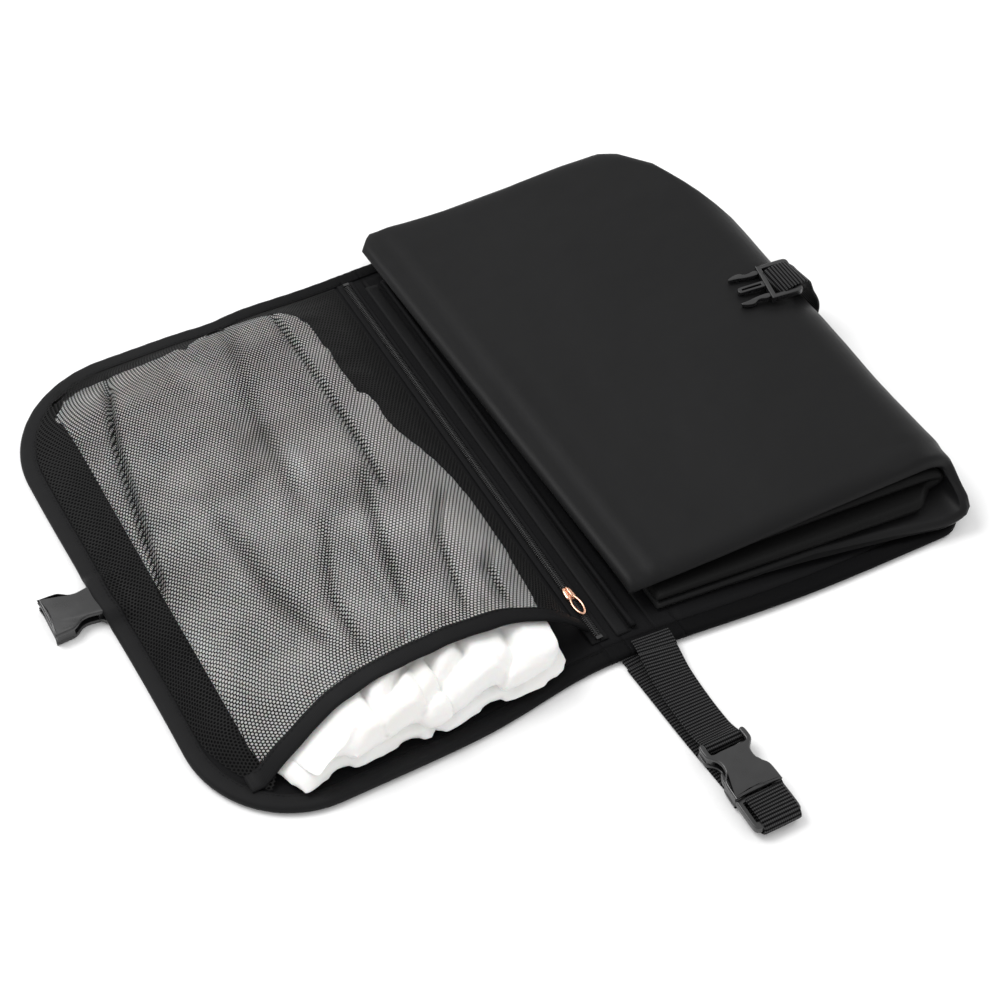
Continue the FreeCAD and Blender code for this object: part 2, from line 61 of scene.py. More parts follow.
# The mesh pocket: its right-hand seam, its back seam and the cloth that it is sewn to.
POCKET_RIGHT, POCKET_BACK, POCKET_FLOOR = -27.5, 158.0, 4.2
# The middle of the zip.
ZIP_X = -20


# --- Small maths --------------------------------------------------------------------------------

def clamp(t, low=0.0, high=1.0):
    """t held between two limits."""
    return max(low, min(high, t))


def smooth(t):
    """An S-shaped step from 0 to 1."""
    t = clamp(t)
    return t * t * (3 - 2 * t)


def quarter_round(t):
    """Height of a quarter circle that starts at t = 0 and is level from t = 1."""
    return math.sqrt(clamp(1 - (1 - clamp(t)) ** 2))


def mix(a, b, t):
    """The value a share t of the way from a to b."""
    return a + (b - a) * t


def hump(t, width):
    """A round hill, 1 at t = 0."""
    return math.exp(-((t / width) ** 2))


def curve_through(points, t):
    """Value at t of a smooth curve through (position, value) pairs."""
    if t <= points[0][0]:
        return points[0][1]
    last = len(points) - 1

    def slope(i):
        a, b = points[max(0, i - 1)], points[min(last, i + 1)]
        return (b[1] - a[1]) / (b[0] - a[0])

    for i, ((t0, v0), (t1, v1)) in enumerate(zip(points, points[1:])):
        if t <= t1:
            run = t1 - t0
            u = (t - t0) / run
            return (v0 * (2 * u ** 3 - 3 * u ** 2 + 1) + v1 * (3 * u ** 2 - 2 * u ** 3)
                    + run * slope(i) * (u ** 3 - 2 * u ** 2 + u)
                    + run * slope(i + 1) * (u ** 3 - u ** 2))
    return points[-1][1]


def ripple(x, y, scale, seed):
    """Smooth noise from -1 to 1 over a plane."""
    return noise.noise(Vector((x / scale, y / scale, seed)))


def circle(sides):
    """Cosine and sine of evenly spaced angles, once round."""
    turns = [2 * math.pi * k / sides for k in range(sides)]
    return [(math.cos(turn), math.sin(turn)) for turn in turns]


def between(a, b, c, d, t):
    """The number or vector a share t of the way from b to c, on a smooth curve through all four."""
    return 0.5 * (2 * b + (c - a) * t + (2 * a - 5 * b + 4 * c - d) * t * t
                  + (3 * b - a - 3 * c + d) * t ** 3)


def resample(line, count, steps=10, measured=3):
    """A smooth line of count evenly spaced points through control points.
    Only the first measured numbers of a point are lengths in space."""
    ends = [line[0]] + list(line) + [line[-1]]
    dense = [tuple(between(*numbers, k / steps) for numbers in zip(*four))
             for four in zip(ends, ends[1:], ends[2:], ends[3:]) for k in range(steps)]
    dense.append(line[-1])
    lengths = [0.0]
    for a, b in zip(dense, dense[1:]):
        lengths.append(lengths[-1] + math.dist(a[:measured], b[:measured]))
    result, k = [], 0
    for i in range(count):
        want = lengths[-1] * i / (count - 1)
        while k < len(lengths) - 2 and lengths[k + 1] < want:
            k += 1
        t = (want - lengths[k]) / max(lengths[k + 1] - lengths[k], 1e-9)
        result.append(tuple(mix(a, b, clamp(t)) for a, b in zip(dense[k], dense[k + 1])))
    return result


def softened(outline, steps=3):
    """A closed outline rounded through its points."""
    count = len(outline)
    path = []
    for i in range(count):
        four = [Vector(outline[(i + k - 1) % count]) for k in range(4)]
        path += [tuple(between(*four, k / steps)) for k in range(steps)]
    return path


# --- Mesh building ------------------------------------------------------------------------------

def make_piece(name, points, faces, material):
    """An object from points in millimetres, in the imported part's frame."""
    mesh = bpy.data.meshes.new(name)
    mesh.from_pydata([tuple(Vector(p) * MM) for p in points], [], faces)
    mesh.update()
    mesh.materials.append(material)
    mesh.shade_smooth()
    return show(name, mesh)


def show(name, data):
    """A new object in the scene."""
    obj = bpy.data.objects.new(name, data)
    bpy.context.scene.collection.objects.link(obj)
    return obj


def tidy_normals(obj):
    """Merge doubled points and turn every face outwards."""
    bm = bmesh.new()
    bm.from_mesh(obj.data)
    bmesh.ops.remove_doubles(bm, verts=bm.verts, dist=0.00001)
    bmesh.ops.recalc_face_normals(bm, faces=bm.faces)
    bm.to_mesh(obj.data)
    bm.free()
    obj.data.update()
    return obj


def quads(rows, columns, ring=False):
    """Faces of a grid of points given row by row; ring joins each row's end to its start."""
    last = columns if ring else columns - 1
    faces = []
    for r in range(rows - 1):
        for c in range(last):
            d = (c + 1) % columns
            faces.append((r * columns + c, r * columns + d, (r + 1) * columns + d,
                          (r + 1) * columns + c))
    return faces


def tube_faces(rings, sides, first=0):
    """Faces of a closed tube of rings of points, whose points are numbered from first."""
    faces = quads(rings, sides, ring=True)
    faces.append(tuple(reversed(range(sides))))
    faces.append(tuple(range((rings - 1) * sides, rings * sides)))
    return [tuple(first + i for i in face) for face in faces]


def skin(name, loops, material, around=False):
    """A skin over a row of closed loops of equal length, capped at its ends; around joins the last
    loop to the first instead."""
    if around:
        loops = loops + loops[:1]
        faces = quads(len(loops), len(loops[0]), ring=True)
    else:
        faces = tube_faces(len(loops), len(loops[0]))
    points = [p for loop in loops for p in loop]
    return tidy_normals(make_piece(name, points, faces, material))


def add_line_values(obj, values, name):
    """Store one number per point, which the webbing's material follows."""
    attribute = obj.data.attributes.new(name, "FLOAT", "POINT")
    attribute.data.foreach_set("value", values)


def sheet_block(name, top, bottom, rows, columns, material):
    """A closed thin block between two grids of points, top and bottom, given row by row."""
    count = rows * columns
    faces = quads(rows, columns)
    faces += [tuple(i + count for i in reversed(f)) for f in quads(rows, columns)]
    rim = [c for c in range(columns)]
    rim += [r * columns + columns - 1 for r in range(1, rows)]
    rim += [(rows - 1) * columns + c for c in range(columns - 2, -1, -1)]
    rim += [r * columns for r in range(rows - 2, 0, -1)]
    for a, b in zip(rim, rim[1:] + rim[:1]):
        faces.append((b, a, a + count, b + count))
    return tidy_normals(make_piece(name, top + bottom, faces, material))


def shaped_mesh(obj):
    """The mesh of an object as its modifiers or curve settings shape it."""
    graph = bpy.context.evaluated_depsgraph_get()
    graph.update()
    return bpy.data.meshes.new_from_object(obj.evaluated_get(graph))


def bake(obj):
    """Apply every modifier of an object."""
    mesh = shaped_mesh(obj)
    obj.modifiers.clear()
    obj.data = mesh


# --- Materials ----------------------------------------------------------------------------------

class Nodes:
    """A short way to write a node material."""

    def __init__(self, name):
        self.open(bpy.data.materials.new(name))

    def open(self, material):
        self.material = material
        self.material.use_nodes = True
        self.tree = self.material.node_tree
        self.shader = self.tree.nodes["Principled BSDF"]

    @classmethod
    def of(cls, material):
        """The same short way for a material that is already made."""
        nodes = cls.__new__(cls)
        nodes.open(material)
        return nodes

    def feed(self, socket, value):
        if isinstance(value, bpy.types.NodeSocket):
            self.tree.links.new(value, socket)
        else:
            socket.default_value = value

    def math(self, operation, *values, limited=False):
        """One sum on numbers or sockets; limited keeps the answer between 0 and 1."""
        node = self.tree.nodes.new("ShaderNodeMath")
        node.operation = operation
        node.use_clamp = limited
        for socket, value in zip(node.inputs, values):
            self.feed(socket, value)
        return node.outputs[0]

    def scaled(self, value, factor, offset, limited=False):
        """A value times a factor plus an offset."""
        return self.math("MULTIPLY_ADD", value, factor, offset, limited=limited)

    def stripes(self, value, pitch):
        """Round ridges from 0 to 1, one every pitch of the value."""
        turn = self.math("MULTIPLY", value, 2 * math.pi / pitch)
        return self.scaled(self.math("SINE", turn), 0.5, 0.5)

    def shade(self, dark, light, factor):
        """A colour between two, by a factor."""
        node = self.tree.nodes.new("ShaderNodeMix")
        node.data_type = "RGBA"
        self.feed(node.inputs[0], factor)
        for socket, colour in ((node.inputs[6], dark), (node.inputs[7], light)):
            self.feed(socket, colour if isinstance(colour, bpy.types.NodeSocket) else (*colour, 1))
        return node.outputs[2]

    def place(self):
        """The object's own coordinates, in metres."""
        return self.tree.nodes.new("ShaderNodeTexCoord").outputs["Object"]

    def axis(self, axis):
        """One of the object's own coordinates, in metres."""
        parts = self.tree.nodes.new("ShaderNodeSeparateXYZ")
        self.feed(parts.inputs[0], self.place())
        return parts.outputs[axis]

    def stored(self, name):
        """A number that the mesh stores for each point."""
        node = self.tree.nodes.new("ShaderNodeAttribute")
        node.attribute_name = name
        return node.outputs["Fac"]

    def spots(self, scale, detail=2.0):
        """Smooth noise over the object, from 0 to 1."""
        node = self.tree.nodes.new("ShaderNodeTexNoise")
        self.feed(node.inputs["Vector"], self.place())
        self.feed(node.inputs["Scale"], scale)
        self.feed(node.inputs["Detail"], detail)
        return node.outputs["Fac"]

    def bump(self, height, distance, strength=1.0, below=None):
        node = self.tree.nodes.new("ShaderNodeBump")
        self.feed(node.inputs["Height"], height)
        self.feed(node.inputs["Distance"], distance)
        self.feed(node.inputs["Strength"], strength)
        if below is not None:
            self.feed(node.inputs["Normal"], below)
        return node.outputs["Normal"]

    def finish(self, colour, roughness, normal, **extra):
        self.feed(self.shader.inputs["Base Color"], colour)
        self.feed(self.shader.inputs["Roughness"], roughness)
        self.feed(self.shader.inputs["Normal"], normal)
        for key, value in extra.items():
            self.feed(self.shader.inputs[key.replace("_", " ")], value)
        return self.material


def grey(level, cool=0.0005):
    """A near-black with a slight blue cast."""
    return (level, level, level + cool)


def woven(name, dark, light, roughness, pitch, depth, sheen, specular):
    """Plain-weave cloth: crossing threads, patchy sheen and slight colour variation."""
    n = Nodes(name)
    warp = n.stripes(n.axis("X"), pitch * MM)
    weft = n.stripes(n.axis("Y"), pitch * MM)
    weave = n.bump(n.math("MAXIMUM", warp, weft), depth * MM, 0.6)
    soft = n.bump(n.spots(45.0, 3.0), 0.6 * MM, 0.5, below=weave)
    patch = n.spots(14.0, 4.0)
    return n.finish(n.shade(dark, light, patch), n.scaled(patch, 0.16, roughness - 0.08), soft,
                    Sheen_Weight=sheen, Sheen_Roughness=0.4, Specular_IOR_Level=specular)


def binding_cloth(name):
    """Binding tape: plain weave, with painted shade that darkens it and takes away its gloss from the
    flap's middle towards the spine, and over the spine and base.
    """
    gloss = 0.14
    material = woven(name, grey(0.005), grey(0.009), 0.6, 0.7, 0.14, 0.01, gloss)
    n = Nodes.of(material)
    # Painted shade: from about 143 mm left of the spine's middle the tape turns darker and less glossy,
    # and stays so over the spine and base.
    painted_shade = n.scaled(n.axis("X"), 7.0, 1.0, limited=True)
    colour = n.shader.inputs["Base Color"]
    n.feed(colour, n.shade(colour.links[0].from_socket, grey(0.003, 0.0003), painted_shade))
    n.feed(n.shader.inputs["Specular IOR Level"], n.scaled(painted_shade, -0.09, gloss))
    return material


def ribbed_webbing(name):
    """Narrow woven webbing with ribs across it and fine threads along it; the grooves between them are
    painted dark and dull as shade.
    """
    n = Nodes(name)
    ribs = n.stripes(n.stored("along"), 1.9)
    threads = n.stripes(n.stored("across"), 1.1)
    coarse = n.bump(ribs, 0.6 * MM, 1.0)
    fine = n.bump(threads, 0.4 * MM, 0.9, below=coarse)
    # Painted shade: near-black with no gloss in the grooves between ribs and threads, lighter and
    # glossy on their tops.
    painted_rib_shading = n.math("MULTIPLY", ribs, n.scaled(threads, 0.6, 0.4))
    colour = n.shade(grey(0.0012, 0.0003), grey(0.036, 0.001), painted_rib_shading)
    return n.finish(colour, 0.55, fine, Sheen_Weight=0.02, Sheen_Roughness=0.5,
                    Specular_IOR_Level=n.math("MULTIPLY", painted_rib_shading, 0.55))


def soft_white(name):
    """Soft white nonwoven: fine fibres, small embossed dots and a faint warm tint in places."""
    n = Nodes(name)
    dots = n.tree.nodes.new("ShaderNodeTexVoronoi")
    n.feed(dots.inputs["Vector"], n.place())
    n.feed(dots.inputs["Scale"], 420.0)
    emboss = n.bump(dots.outputs["Distance"], 0.25 * MM, 0.5)
    fibres = n.bump(n.spots(900.0, 3.0), 0.15 * MM, 0.4, below=emboss)
    tint = n.math("POWER", n.spots(28.0, 2.0), 3.0)
    colour = n.shade((0.89, 0.885, 0.875), (0.82, 0.79, 0.72), tint)
    return n.finish(colour, 0.85, fibres, Sheen_Weight=0.25, Subsurface_Weight=0.15,
                    Subsurface_Scale=0.004, Specular_IOR_Level=0.2)


def moulded_plastic(name):
    """Black moulded plastic with a fine satin grain."""
    n = Nodes(name)
    grain = n.bump(n.spots(2600.0, 2.0), 0.04 * MM, 0.5)
    worn = n.spots(160.0, 3.0)
    return n.finish(n.shade(grey(0.006), grey(0.013), worn), n.scaled(worn, 0.14, 0.22), grain,
                    Specular_IOR_Level=0.7)


def rose_metal(name):
    """Polished rose-gold plating with faint handling marks."""
    n = Nodes(name)
    marks = n.spots(700.0, 4.0)
    colour = n.shade((0.80, 0.42, 0.28), (0.92, 0.58, 0.42), marks)
    return n.finish(colour, n.scaled(marks, 0.15, 0.14), n.bump(marks, 0.02 * MM, 0.4),
                    Metallic=1.0)


def fine_net(name):
    """Matt black nylon yarn of the knitted mesh."""
    n = Nodes(name)
    yarn = n.bump(n.spots(3000.0, 2.0), 0.05 * MM, 0.6)
    colour = n.shade(grey(0.004, 0), grey(0.010, 0), n.spots(60.0, 2.0))
    return n.finish(colour, 0.6, yarn, Sheen_Weight=0.02, Specular_IOR_Level=0.12)


# Darkest and lightest colour, roughness, thread pitch, thread relief, sheen and specular of a cloth.
CLOTHS = {
    "outer_fabric": (grey(0.005), grey(0.008), 0.62, 0.55, 0.10, 0.02, 0.12),
    "lining_fabric": (grey(0.0035), grey(0.006), 0.6, 0.5, 0.08, 0.01, 0.08),
    "pad_fabric": (grey(0.0052, 0.0003), grey(0.0074, 0.0003), 0.42, 0.45, 0.05, 0.012, 0.14),
    # The inner plies' cloth is the pad fabric made darker and less glossy: painted shade for the hollow
    # between the plies.
    "pad_fabric_painted_shade": (grey(0.0035, 0), grey(0.006, 0), 0.55, 0.45, 0.05, 0.005, 0.10),
    "zip_tape": (grey(0.004), grey(0.007), 0.65, 0.6, 0.12, 0.01, 0.1),
}
MAKERS = {"binding_tape": binding_cloth, "webbing": ribbed_webbing, "mesh_fabric": fine_net,
          "diaper_nonwoven": soft_white, "buckle_plastic": moulded_plastic,
          "zip_coil": moulded_plastic, "zip_metal": rose_metal}
MATERIALS = {name: woven(name, *look) for name, look in CLOTHS.items()}
MATERIALS.update({name: make(name) for name, make in MAKERS.items()})


def on(body):
    """A way to place pieces that ride on one body."""
    def place(obj, slot_name):
        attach(obj, body)
    return place


def settle(obj, body, slot_name, *nodes):
    """Ride a finished piece on its body and hide the nodes it stands for; slot_name is not used."""
    on(body)(obj, slot_name)
    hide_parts(*nodes)


# --- Cover outline ------------------------------------------------------------------------------

def wander(x, y):
    """How far the limp cover strays from its cut shape at a point: shift in X, Y and Z."""
    front, back = smooth((-y - 40) / 128), smooth((y - 60) / 108)
    left = smooth((-x - 150) / 91)
    reach = 85 if x > -25 else 55
    out_front = 4.5 - 10.5 * hump(x + 25, reach)
    out_back = 0.8 * hump(x + 82, 22) - 1.6 * hump(x + 106, 14) - 0.8 * hump(x + 40, 30)
    out_left = 2.0 * math.sin(clamp(y / 95, -1, 1) * math.pi / 2) + 1.6 * hump(y - 2, 15)
    rise = 4.4 * smooth((-x - 222) / 12) * smooth((20 - abs(y)) / 9)
    rise += 0.5 * front * math.sin(x / 31) + 0.4 * back
    rise += 0.5 * left * (1 + math.sin(y / 27))
    return -out_left * left, -out_front * front + out_back * back, max(0.0, rise)


def moved(x, y, z):
    """A cover point after the cloth's straying."""
    dx, dy, dz = wander(x, y)
    return (x + dx, y + dy, z + dz)


def arc_points(cx, cy, radius, start, end):
    """Points of an arc, angles in degrees."""
    count = max(2, int(radius * math.radians(abs(end - start)) / 3.5))
    angles = [math.radians(mix(start, end, i / count)) for i in range(count + 1)]
    return [(cx + radius * math.cos(a), cy + radius * math.sin(a)) for a in angles]


def line_points(a, b, step=3.5):
    """Points of a straight line, about a step apart."""
    count = max(1, int(math.dist(a, b) / step))
    return [(mix(a[0], b[0], i / count), mix(a[1], b[1], i / count)) for i in range(count + 1)]


def joined(*runs):
    """Runs of points as one path without doubled points."""
    path = []
    for run in runs:
        for p in run:
            if not path or math.dist(path[-1], p) > 0.01:
                path.append(p)
    return path


def rounded_end(tip, inner, back_radius, front_radius):
    """Edge path of a panel: back edge from inner, round the far end at tip, and back at the front."""
    side = 1 if tip > inner else -1
    back_x, front_x = tip - side * back_radius, tip - side * front_radius
    return joined(
        line_points((inner, EDGE_Y), (back_x, EDGE_Y)),
        arc_points(back_x, EDGE_Y - back_radius, back_radius, 90, 90 - side * 90),
        line_points((tip, EDGE_Y - back_radius), (tip, -EDGE_Y + front_radius)),
        arc_points(front_x, -EDGE_Y + front_radius, front_radius, 90 - side * 90,
                   90 - side * 180),
        line_points((front_x, -EDGE_Y), (inner, -EDGE_Y)),
    )


def inward(path, i, centre):
    """Unit direction at a path point, square to the path and towards the centre."""
    a, b = path[max(0, i - 1)], path[min(len(path) - 1, i + 1)]
    along = Vector((b[0] - a[0], b[1] - a[1])).normalized()
    side = Vector((-along.y, along.x))
    to_centre = Vector(centre) - Vector(path[i])
    return side if side.dot(to_centre) > 0 else -side


# Section of the folded binding: distance in from the cover's edge, and height.
BINDING_SECTION = [(9.5, 0.05), (5.0, 0.0), (2.0, 0.05), (0.7, 0.5), (0.1, 1.4), (0.0, 2.6),
                   (0.4, 3.7), (1.3, 4.5), (2.8, 4.85), (5.5, 4.85), (8.6, 4.75), (9.5, 4.5),
                   (9.4, 4.05), (5.5, 4.25), (2.6, 4.2), (1.2, 3.6), (0.7, 2.5), (1.0, 1.2),
                   (2.4, 0.5), (9.4, 0.45)]


def binding(name, path, centre, place):
    """Binding tape folded round an edge of the outer cloth: a rounded band swept along the path."""
    loops = []
    for i, (x, y) in enumerate(path):
        side = inward(path, i, centre)
        pucker = 0.12 * math.sin(i * 1.9) + 0.1 * ripple(x, y, 9, 3)
        loops.append([moved(x + side.x * depth, y + side.y * depth, z + (pucker if z > 3 else 0))
                      for depth, z in BINDING_SECTION])
    tape = skin(name, loops, MATERIALS["binding_tape"])
    place(tape, "binding_tape")
    return tape


def stitch_row(name, path):
    """A row of short raised stitches along a path of points on the flap."""
    length, gap, radius, sides = 1.9, 0.9, 0.2, 6
    points, faces = [], []
    travelled, next_stitch = 0.0, 0.0
    for a, b in zip(path, path[1:]):
        a, b = Vector(a), Vector(b)
        run = (b - a).length
        while run > 1e-6 and next_stitch < travelled + run:
            start = a.lerp(b, (next_stitch - travelled) / run)
            along = (b - a).normalized()
            side = along.cross(Vector((0, 0, 1))).normalized()
            up = side.cross(along)
            first = len(points)
            for share, thick in ((0, 0.25), (0.2, 1.0), (0.8, 1.0), (1.0, 0.25)):
                centre = start + along * length * share
                points += [centre + (side * c + up * s) * radius * thick for c, s in circle(sides)]
            faces += tube_faces(4, sides, first)
            next_stitch += length + gap
        travelled += run
    stitches = tidy_normals(make_piece(name, points, faces, MATERIALS["binding_tape"]))
    settle(stitches, "flap", "binding_tape")


def edge_y(path, x, front):
    """Y of an edge path at x, on its front or back half."""
    half = sorted(p for p in path if (p[1] < 0) == front)
    for (x0, y0), (x1, y1) in zip(half, half[1:]):
        if x0 <= x <= x1:
            return mix(y0, y1, (x - x0) / max(x1 - x0, 1e-6))
    return half[0][1] if x < half[0][0] else half[-1][1]


def panel(name, path, x0, x1, layer, material, columns=60, rows=80):
    """A thin cloth layer inside an edge path, between two heights, with a faint relief."""
    low, high = layer
    inset = BINDING - 1.5
    top, bottom = [], []
    for i in range(columns + 1):
        x = mix(x0, x1, i / columns)
        y_front = edge_y(path, x, True) + inset
        y_back = edge_y(path, x, False) - inset
        for j in range(rows + 1):
            y = mix(y_front, y_back, j / rows)
            relief = 0.18 * ripple(x, y, 22, 5) + 0.12 * ripple(x, y, 9, 8)
            top.append(moved(x, y, high + relief))
            bottom.append(moved(x, y, low + 0.3 * relief if low > 1 else low))
    return sheet_block(name, top, bottom, columns + 1, rows + 1, MATERIALS[material])


def layers(prefix, path, x0, x1, place, flat, fill, **grid):
    """The outer cloth, padded with foam, and the lining of one stretch of cover."""
    outer = panel(prefix + "_outer_cloth", path, x0, x1, OUTER_LAYER, "outer_fabric", **grid)
    place(outer, "outer_fabric")
    lining = panel(prefix + "_lining_cloth", path, x0, x1, LINING_LAYER, "lining_fabric", **grid)
    place(lining, "lining_fabric")
    return outer, lining


FLAP_EDGE = rounded_end(FLAP_LEFT, -FOLD_X - STRIP, 70, 60)
BASE_EDGE = rounded_end(BASE_RIGHT, FOLD_X + STRIP, 16, 16)


def flap_cover():
    """The flap: lining, padded outer cloth, binding round three sides and its stitches."""
    outer, lining = layers("flap", FLAP_EDGE, FLAP_LEFT + BINDING - 1.5, -FOLD_X - STRIP, on("flap"),
                           (0.217, 0.319), 0.8)
    tape = binding("flap_binding_tape", FLAP_EDGE, FLAP_MIDDLE, on("flap"))
    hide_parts("flap_outer_fabric", "flap_foam")
    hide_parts("flap_lining", "zip_pocket_bag")
    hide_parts("flap_binding")
    seam = []
    for i, (x, y) in enumerate(FLAP_EDGE):
        side = inward(FLAP_EDGE, i, FLAP_MIDDLE)
        seam.append(moved(x + side.x * SEAM, y + side.y * SEAM, BINDING_TOP))
    stitch_row("flap_binding_stitches", seam)


def base_cover():
    """The base panel under the pad: outer cloth, lining and binding."""
    outer, lining = layers("base", BASE_EDGE, FOLD_X + STRIP, BASE_RIGHT - BINDING + 1.5, on("base"),
                           (0.168, 0.319), 0.8, columns=30, rows=50)
    tape = binding("base_binding_tape", BASE_EDGE, BASE_MIDDLE, on("base"))
    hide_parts("base_outer_fabric", "base_foam")
    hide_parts("base_lining")
    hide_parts("base_binding")


def cover_strip(prefix, x0, x1, place):
    """A straight piece of cover from x0 to x1: outer cloth, lining, and binding back and front."""
    back, front = [line_points((x0, y), (x1, y), 1.5) for y in (EDGE_Y, -EDGE_Y)]
    width = (x1 - x0) * MM
    outer, lining = layers(prefix, back + front, x0, x1, place, (width, 0.319), 0.6, columns=8, rows=50)
    middle = ((x0 + x1) / 2, 0)
    tape = binding(prefix + "_binding_back", back, middle, place)
    binding(prefix + "_binding_front", front, middle, place)
    return outer, lining, tape


def spine_cover():
    """The narrow spine between the two folds."""
    outer, lining, tape = cover_strip("spine", -FOLD_X + STRIP, FOLD_X - STRIP, on("spine"))
    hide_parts("spine_outer_fabric", "spine_foam")
    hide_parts("spine_lining")
    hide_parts("spine_binding")


def fold_strips():
    """The two soft folds: narrow strips of cover across the hinges."""
    def across(a, b, x):
        def place(obj, slot_name):
            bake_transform(obj)
        return place

    cover_strip("flap_fold", -FOLD_X - STRIP, -FOLD_X + STRIP, across("flap", "spine", -FOLD_X))
    cover_strip("base_fold", FOLD_X - STRIP, FOLD_X + STRIP, across("spine", "base", FOLD_X))


# --- Mesh pocket --------------------------------------------------------------------------------

def pocket_left(y):
    """X of the mesh's left edge: inside the binding, following the cover's two round corners."""
    front, back = clamp(-108 - y, 0, 58), clamp(y - 98, 0, 68)
    drop = 60 - math.sqrt(60 ** 2 - front ** 2) + 70 - math.sqrt(70 ** 2 - back ** 2)
    return FLAP_LEFT + 9.5 + drop + 5 * smooth((-y - 100) / 40)


def mouth_y(x):
    """Y of the pocket's mouth: drawn back where it arches over the diapers."""
    return curve_through([(-212, -148), (-190, -143.5), (-165, -138.5), (-112, -133.5),
                          (-84, -134.5), (-50, -138.5), (-20, -142)], x)


def crease(x, y):
    """Depth of the creases pulled across the mesh, from 0 to about 1."""
    # The back, middle and front point of each crease, its half-width and its depth.
    lines = [((-174, 156), (-193, 89), (-213, -33), 1.7, 1.0),
             ((-72, 160), (-78, 14), (-83, -32), 2.0, 0.8),
             ((-100, 158), (-120, 60), (-128, -20), 5.0, 0.4),
             ((-45, -20), (-72, -62), (-86, -128), 2.2, 0.7),
             ((-84, 10), (-100, -50), (-112, -110), 3.4, 0.6),
             ((-36, -62), (-58, -92), (-62, -132), 2.4, 0.8),
             ((-118, -20), (-140, -75), (-142, -128), 3.0, 0.6),
             ((-170, 20), (-165, -60), (-150, -120), 5.0, 0.35)]
    total = 0.0
    for (xa, ya), (xb, yb), (xc, yc), width, depth in lines:
        if yc < y < ya:
            t = (y - yb) / (ya - yb) if y > yb else (y - yb) / (yb - yc)
            middle = mix(xb, xa, t) if y > yb else mix(xb, xc, -t)
            fade = smooth(min(y - yc, ya - y) / 25)
            total += depth * fade * hump(x - middle, width)
    return total


def pocket_z(x, y):
    """Height of the mesh at a point: steep at its sewn edges, round over the diapers."""
    front = mouth_y(x)
    v = clamp((y - front) / (POCKET_BACK - front))
    left = clamp((x - pocket_left(max(y, front))) / 80)
    right = clamp((POCKET_RIGHT + 5.5 * (1 - smooth(v / 0.06)) - x) / 60)
    across = (1 - (1 - left) ** 1.9) * (1 - (1 - right) ** 2.6)
    back = curve_through([(0, 31.5), (0.35, 30.0), (0.62, 25.0), (0.84, 17.5), (0.95, 9.0),
                          (1.0, 0.4)], v)
    inner = smooth(min(left * 4, right * 3, (1 - v) / 0.05))
    soft = 1.8 * ripple(x, y, 30, 2) + 0.8 * ripple(x, y, 13, 7)
    return POCKET_FLOOR + max(0.3, across * back + (soft - 6.0 * crease(x, y)) * inner)


def pocket_place(u, v):
    """X and Y on the mesh panel: u across from left to right, v back from the mouth."""
    x = mix(-214, POCKET_RIGHT, u)
    y = mix(mouth_y(x), POCKET_BACK, v)
    x = mix(pocket_left(y), POCKET_RIGHT, u)
    return x, mix(mouth_y(x), POCKET_BACK, v)


def pocket_point(u, v):
    """A point of the mesh panel, a little above the pocket's shape."""
    x, y = pocket_place(u, v)
    dx, dy, dz = wander(x, y)
    edge = 1 - smooth(min(u, 1 - u, 1 - v) / 0.06)
    return (x + dx * edge, y + dy * edge, pocket_z(x, y) + 0.35 + dz * edge)


def mesh_panel():
    """The knitted mesh: a lattice of small hexagonal holes laid over the pocket's shape."""
    width, length = 203, 300
    pitch, row_step = 1.96, 1.70
    columns, rows = int(width / pitch), int(length / row_step)
    points, faces, index = [], [], {}

    def share(x, y):
        """A place on the lattice as shares of its width and length."""
        return clamp(x / (columns * pitch)), clamp(y / (rows * row_step))

    def openness(u, v):
        """Share of a cell that is open: the net bunches up in its creases and towards the back."""
        x, y = pocket_place(u, v)
        bunched = 0.28 * clamp(crease(x, y)) + 0.09 * smooth((v - 0.45) / 0.4)
        return 0.67 * (1 - bunched + 0.09 * ripple(x, y, 38, 9) + 0.05 * ripple(x, y, 14, 6))

    def vertex(x, y):
        key = (round(x * 40), round(y * 40))
        if key not in index:
            index[key] = len(points)
            points.append(pocket_point(*share(x, y)))
        return index[key]

    radius = row_step * 2 / 3
    angles = [math.radians(60 * k + 30) for k in range(6)]
    corners = [(math.cos(a) * pitch / math.sqrt(3), math.sin(a) * radius) for a in angles]
    for r in range(rows + 1):
        for c in range(columns + 1):
            cx = c * pitch + (pitch / 2 if r % 2 else 0)
            cy = r * row_step
            hole = openness(*share(cx, cy))
            outer = [vertex(cx + px, cy + py) for px, py in corners]
            inner = [vertex(cx + px * hole, cy + py * hole) for px, py in corners]
            for k in range(6):
                m = (k + 1) % 6
                quad = (outer[k], outer[m], inner[m], inner[k])
                if len(set(quad)) == 4:
                    faces.append(quad)
    obj = make_piece("mesh_pocket_net", points, faces, MATERIALS["mesh_fabric"])
    settle(obj, "flap", "mesh_fabric", "mesh_pocket_panel")


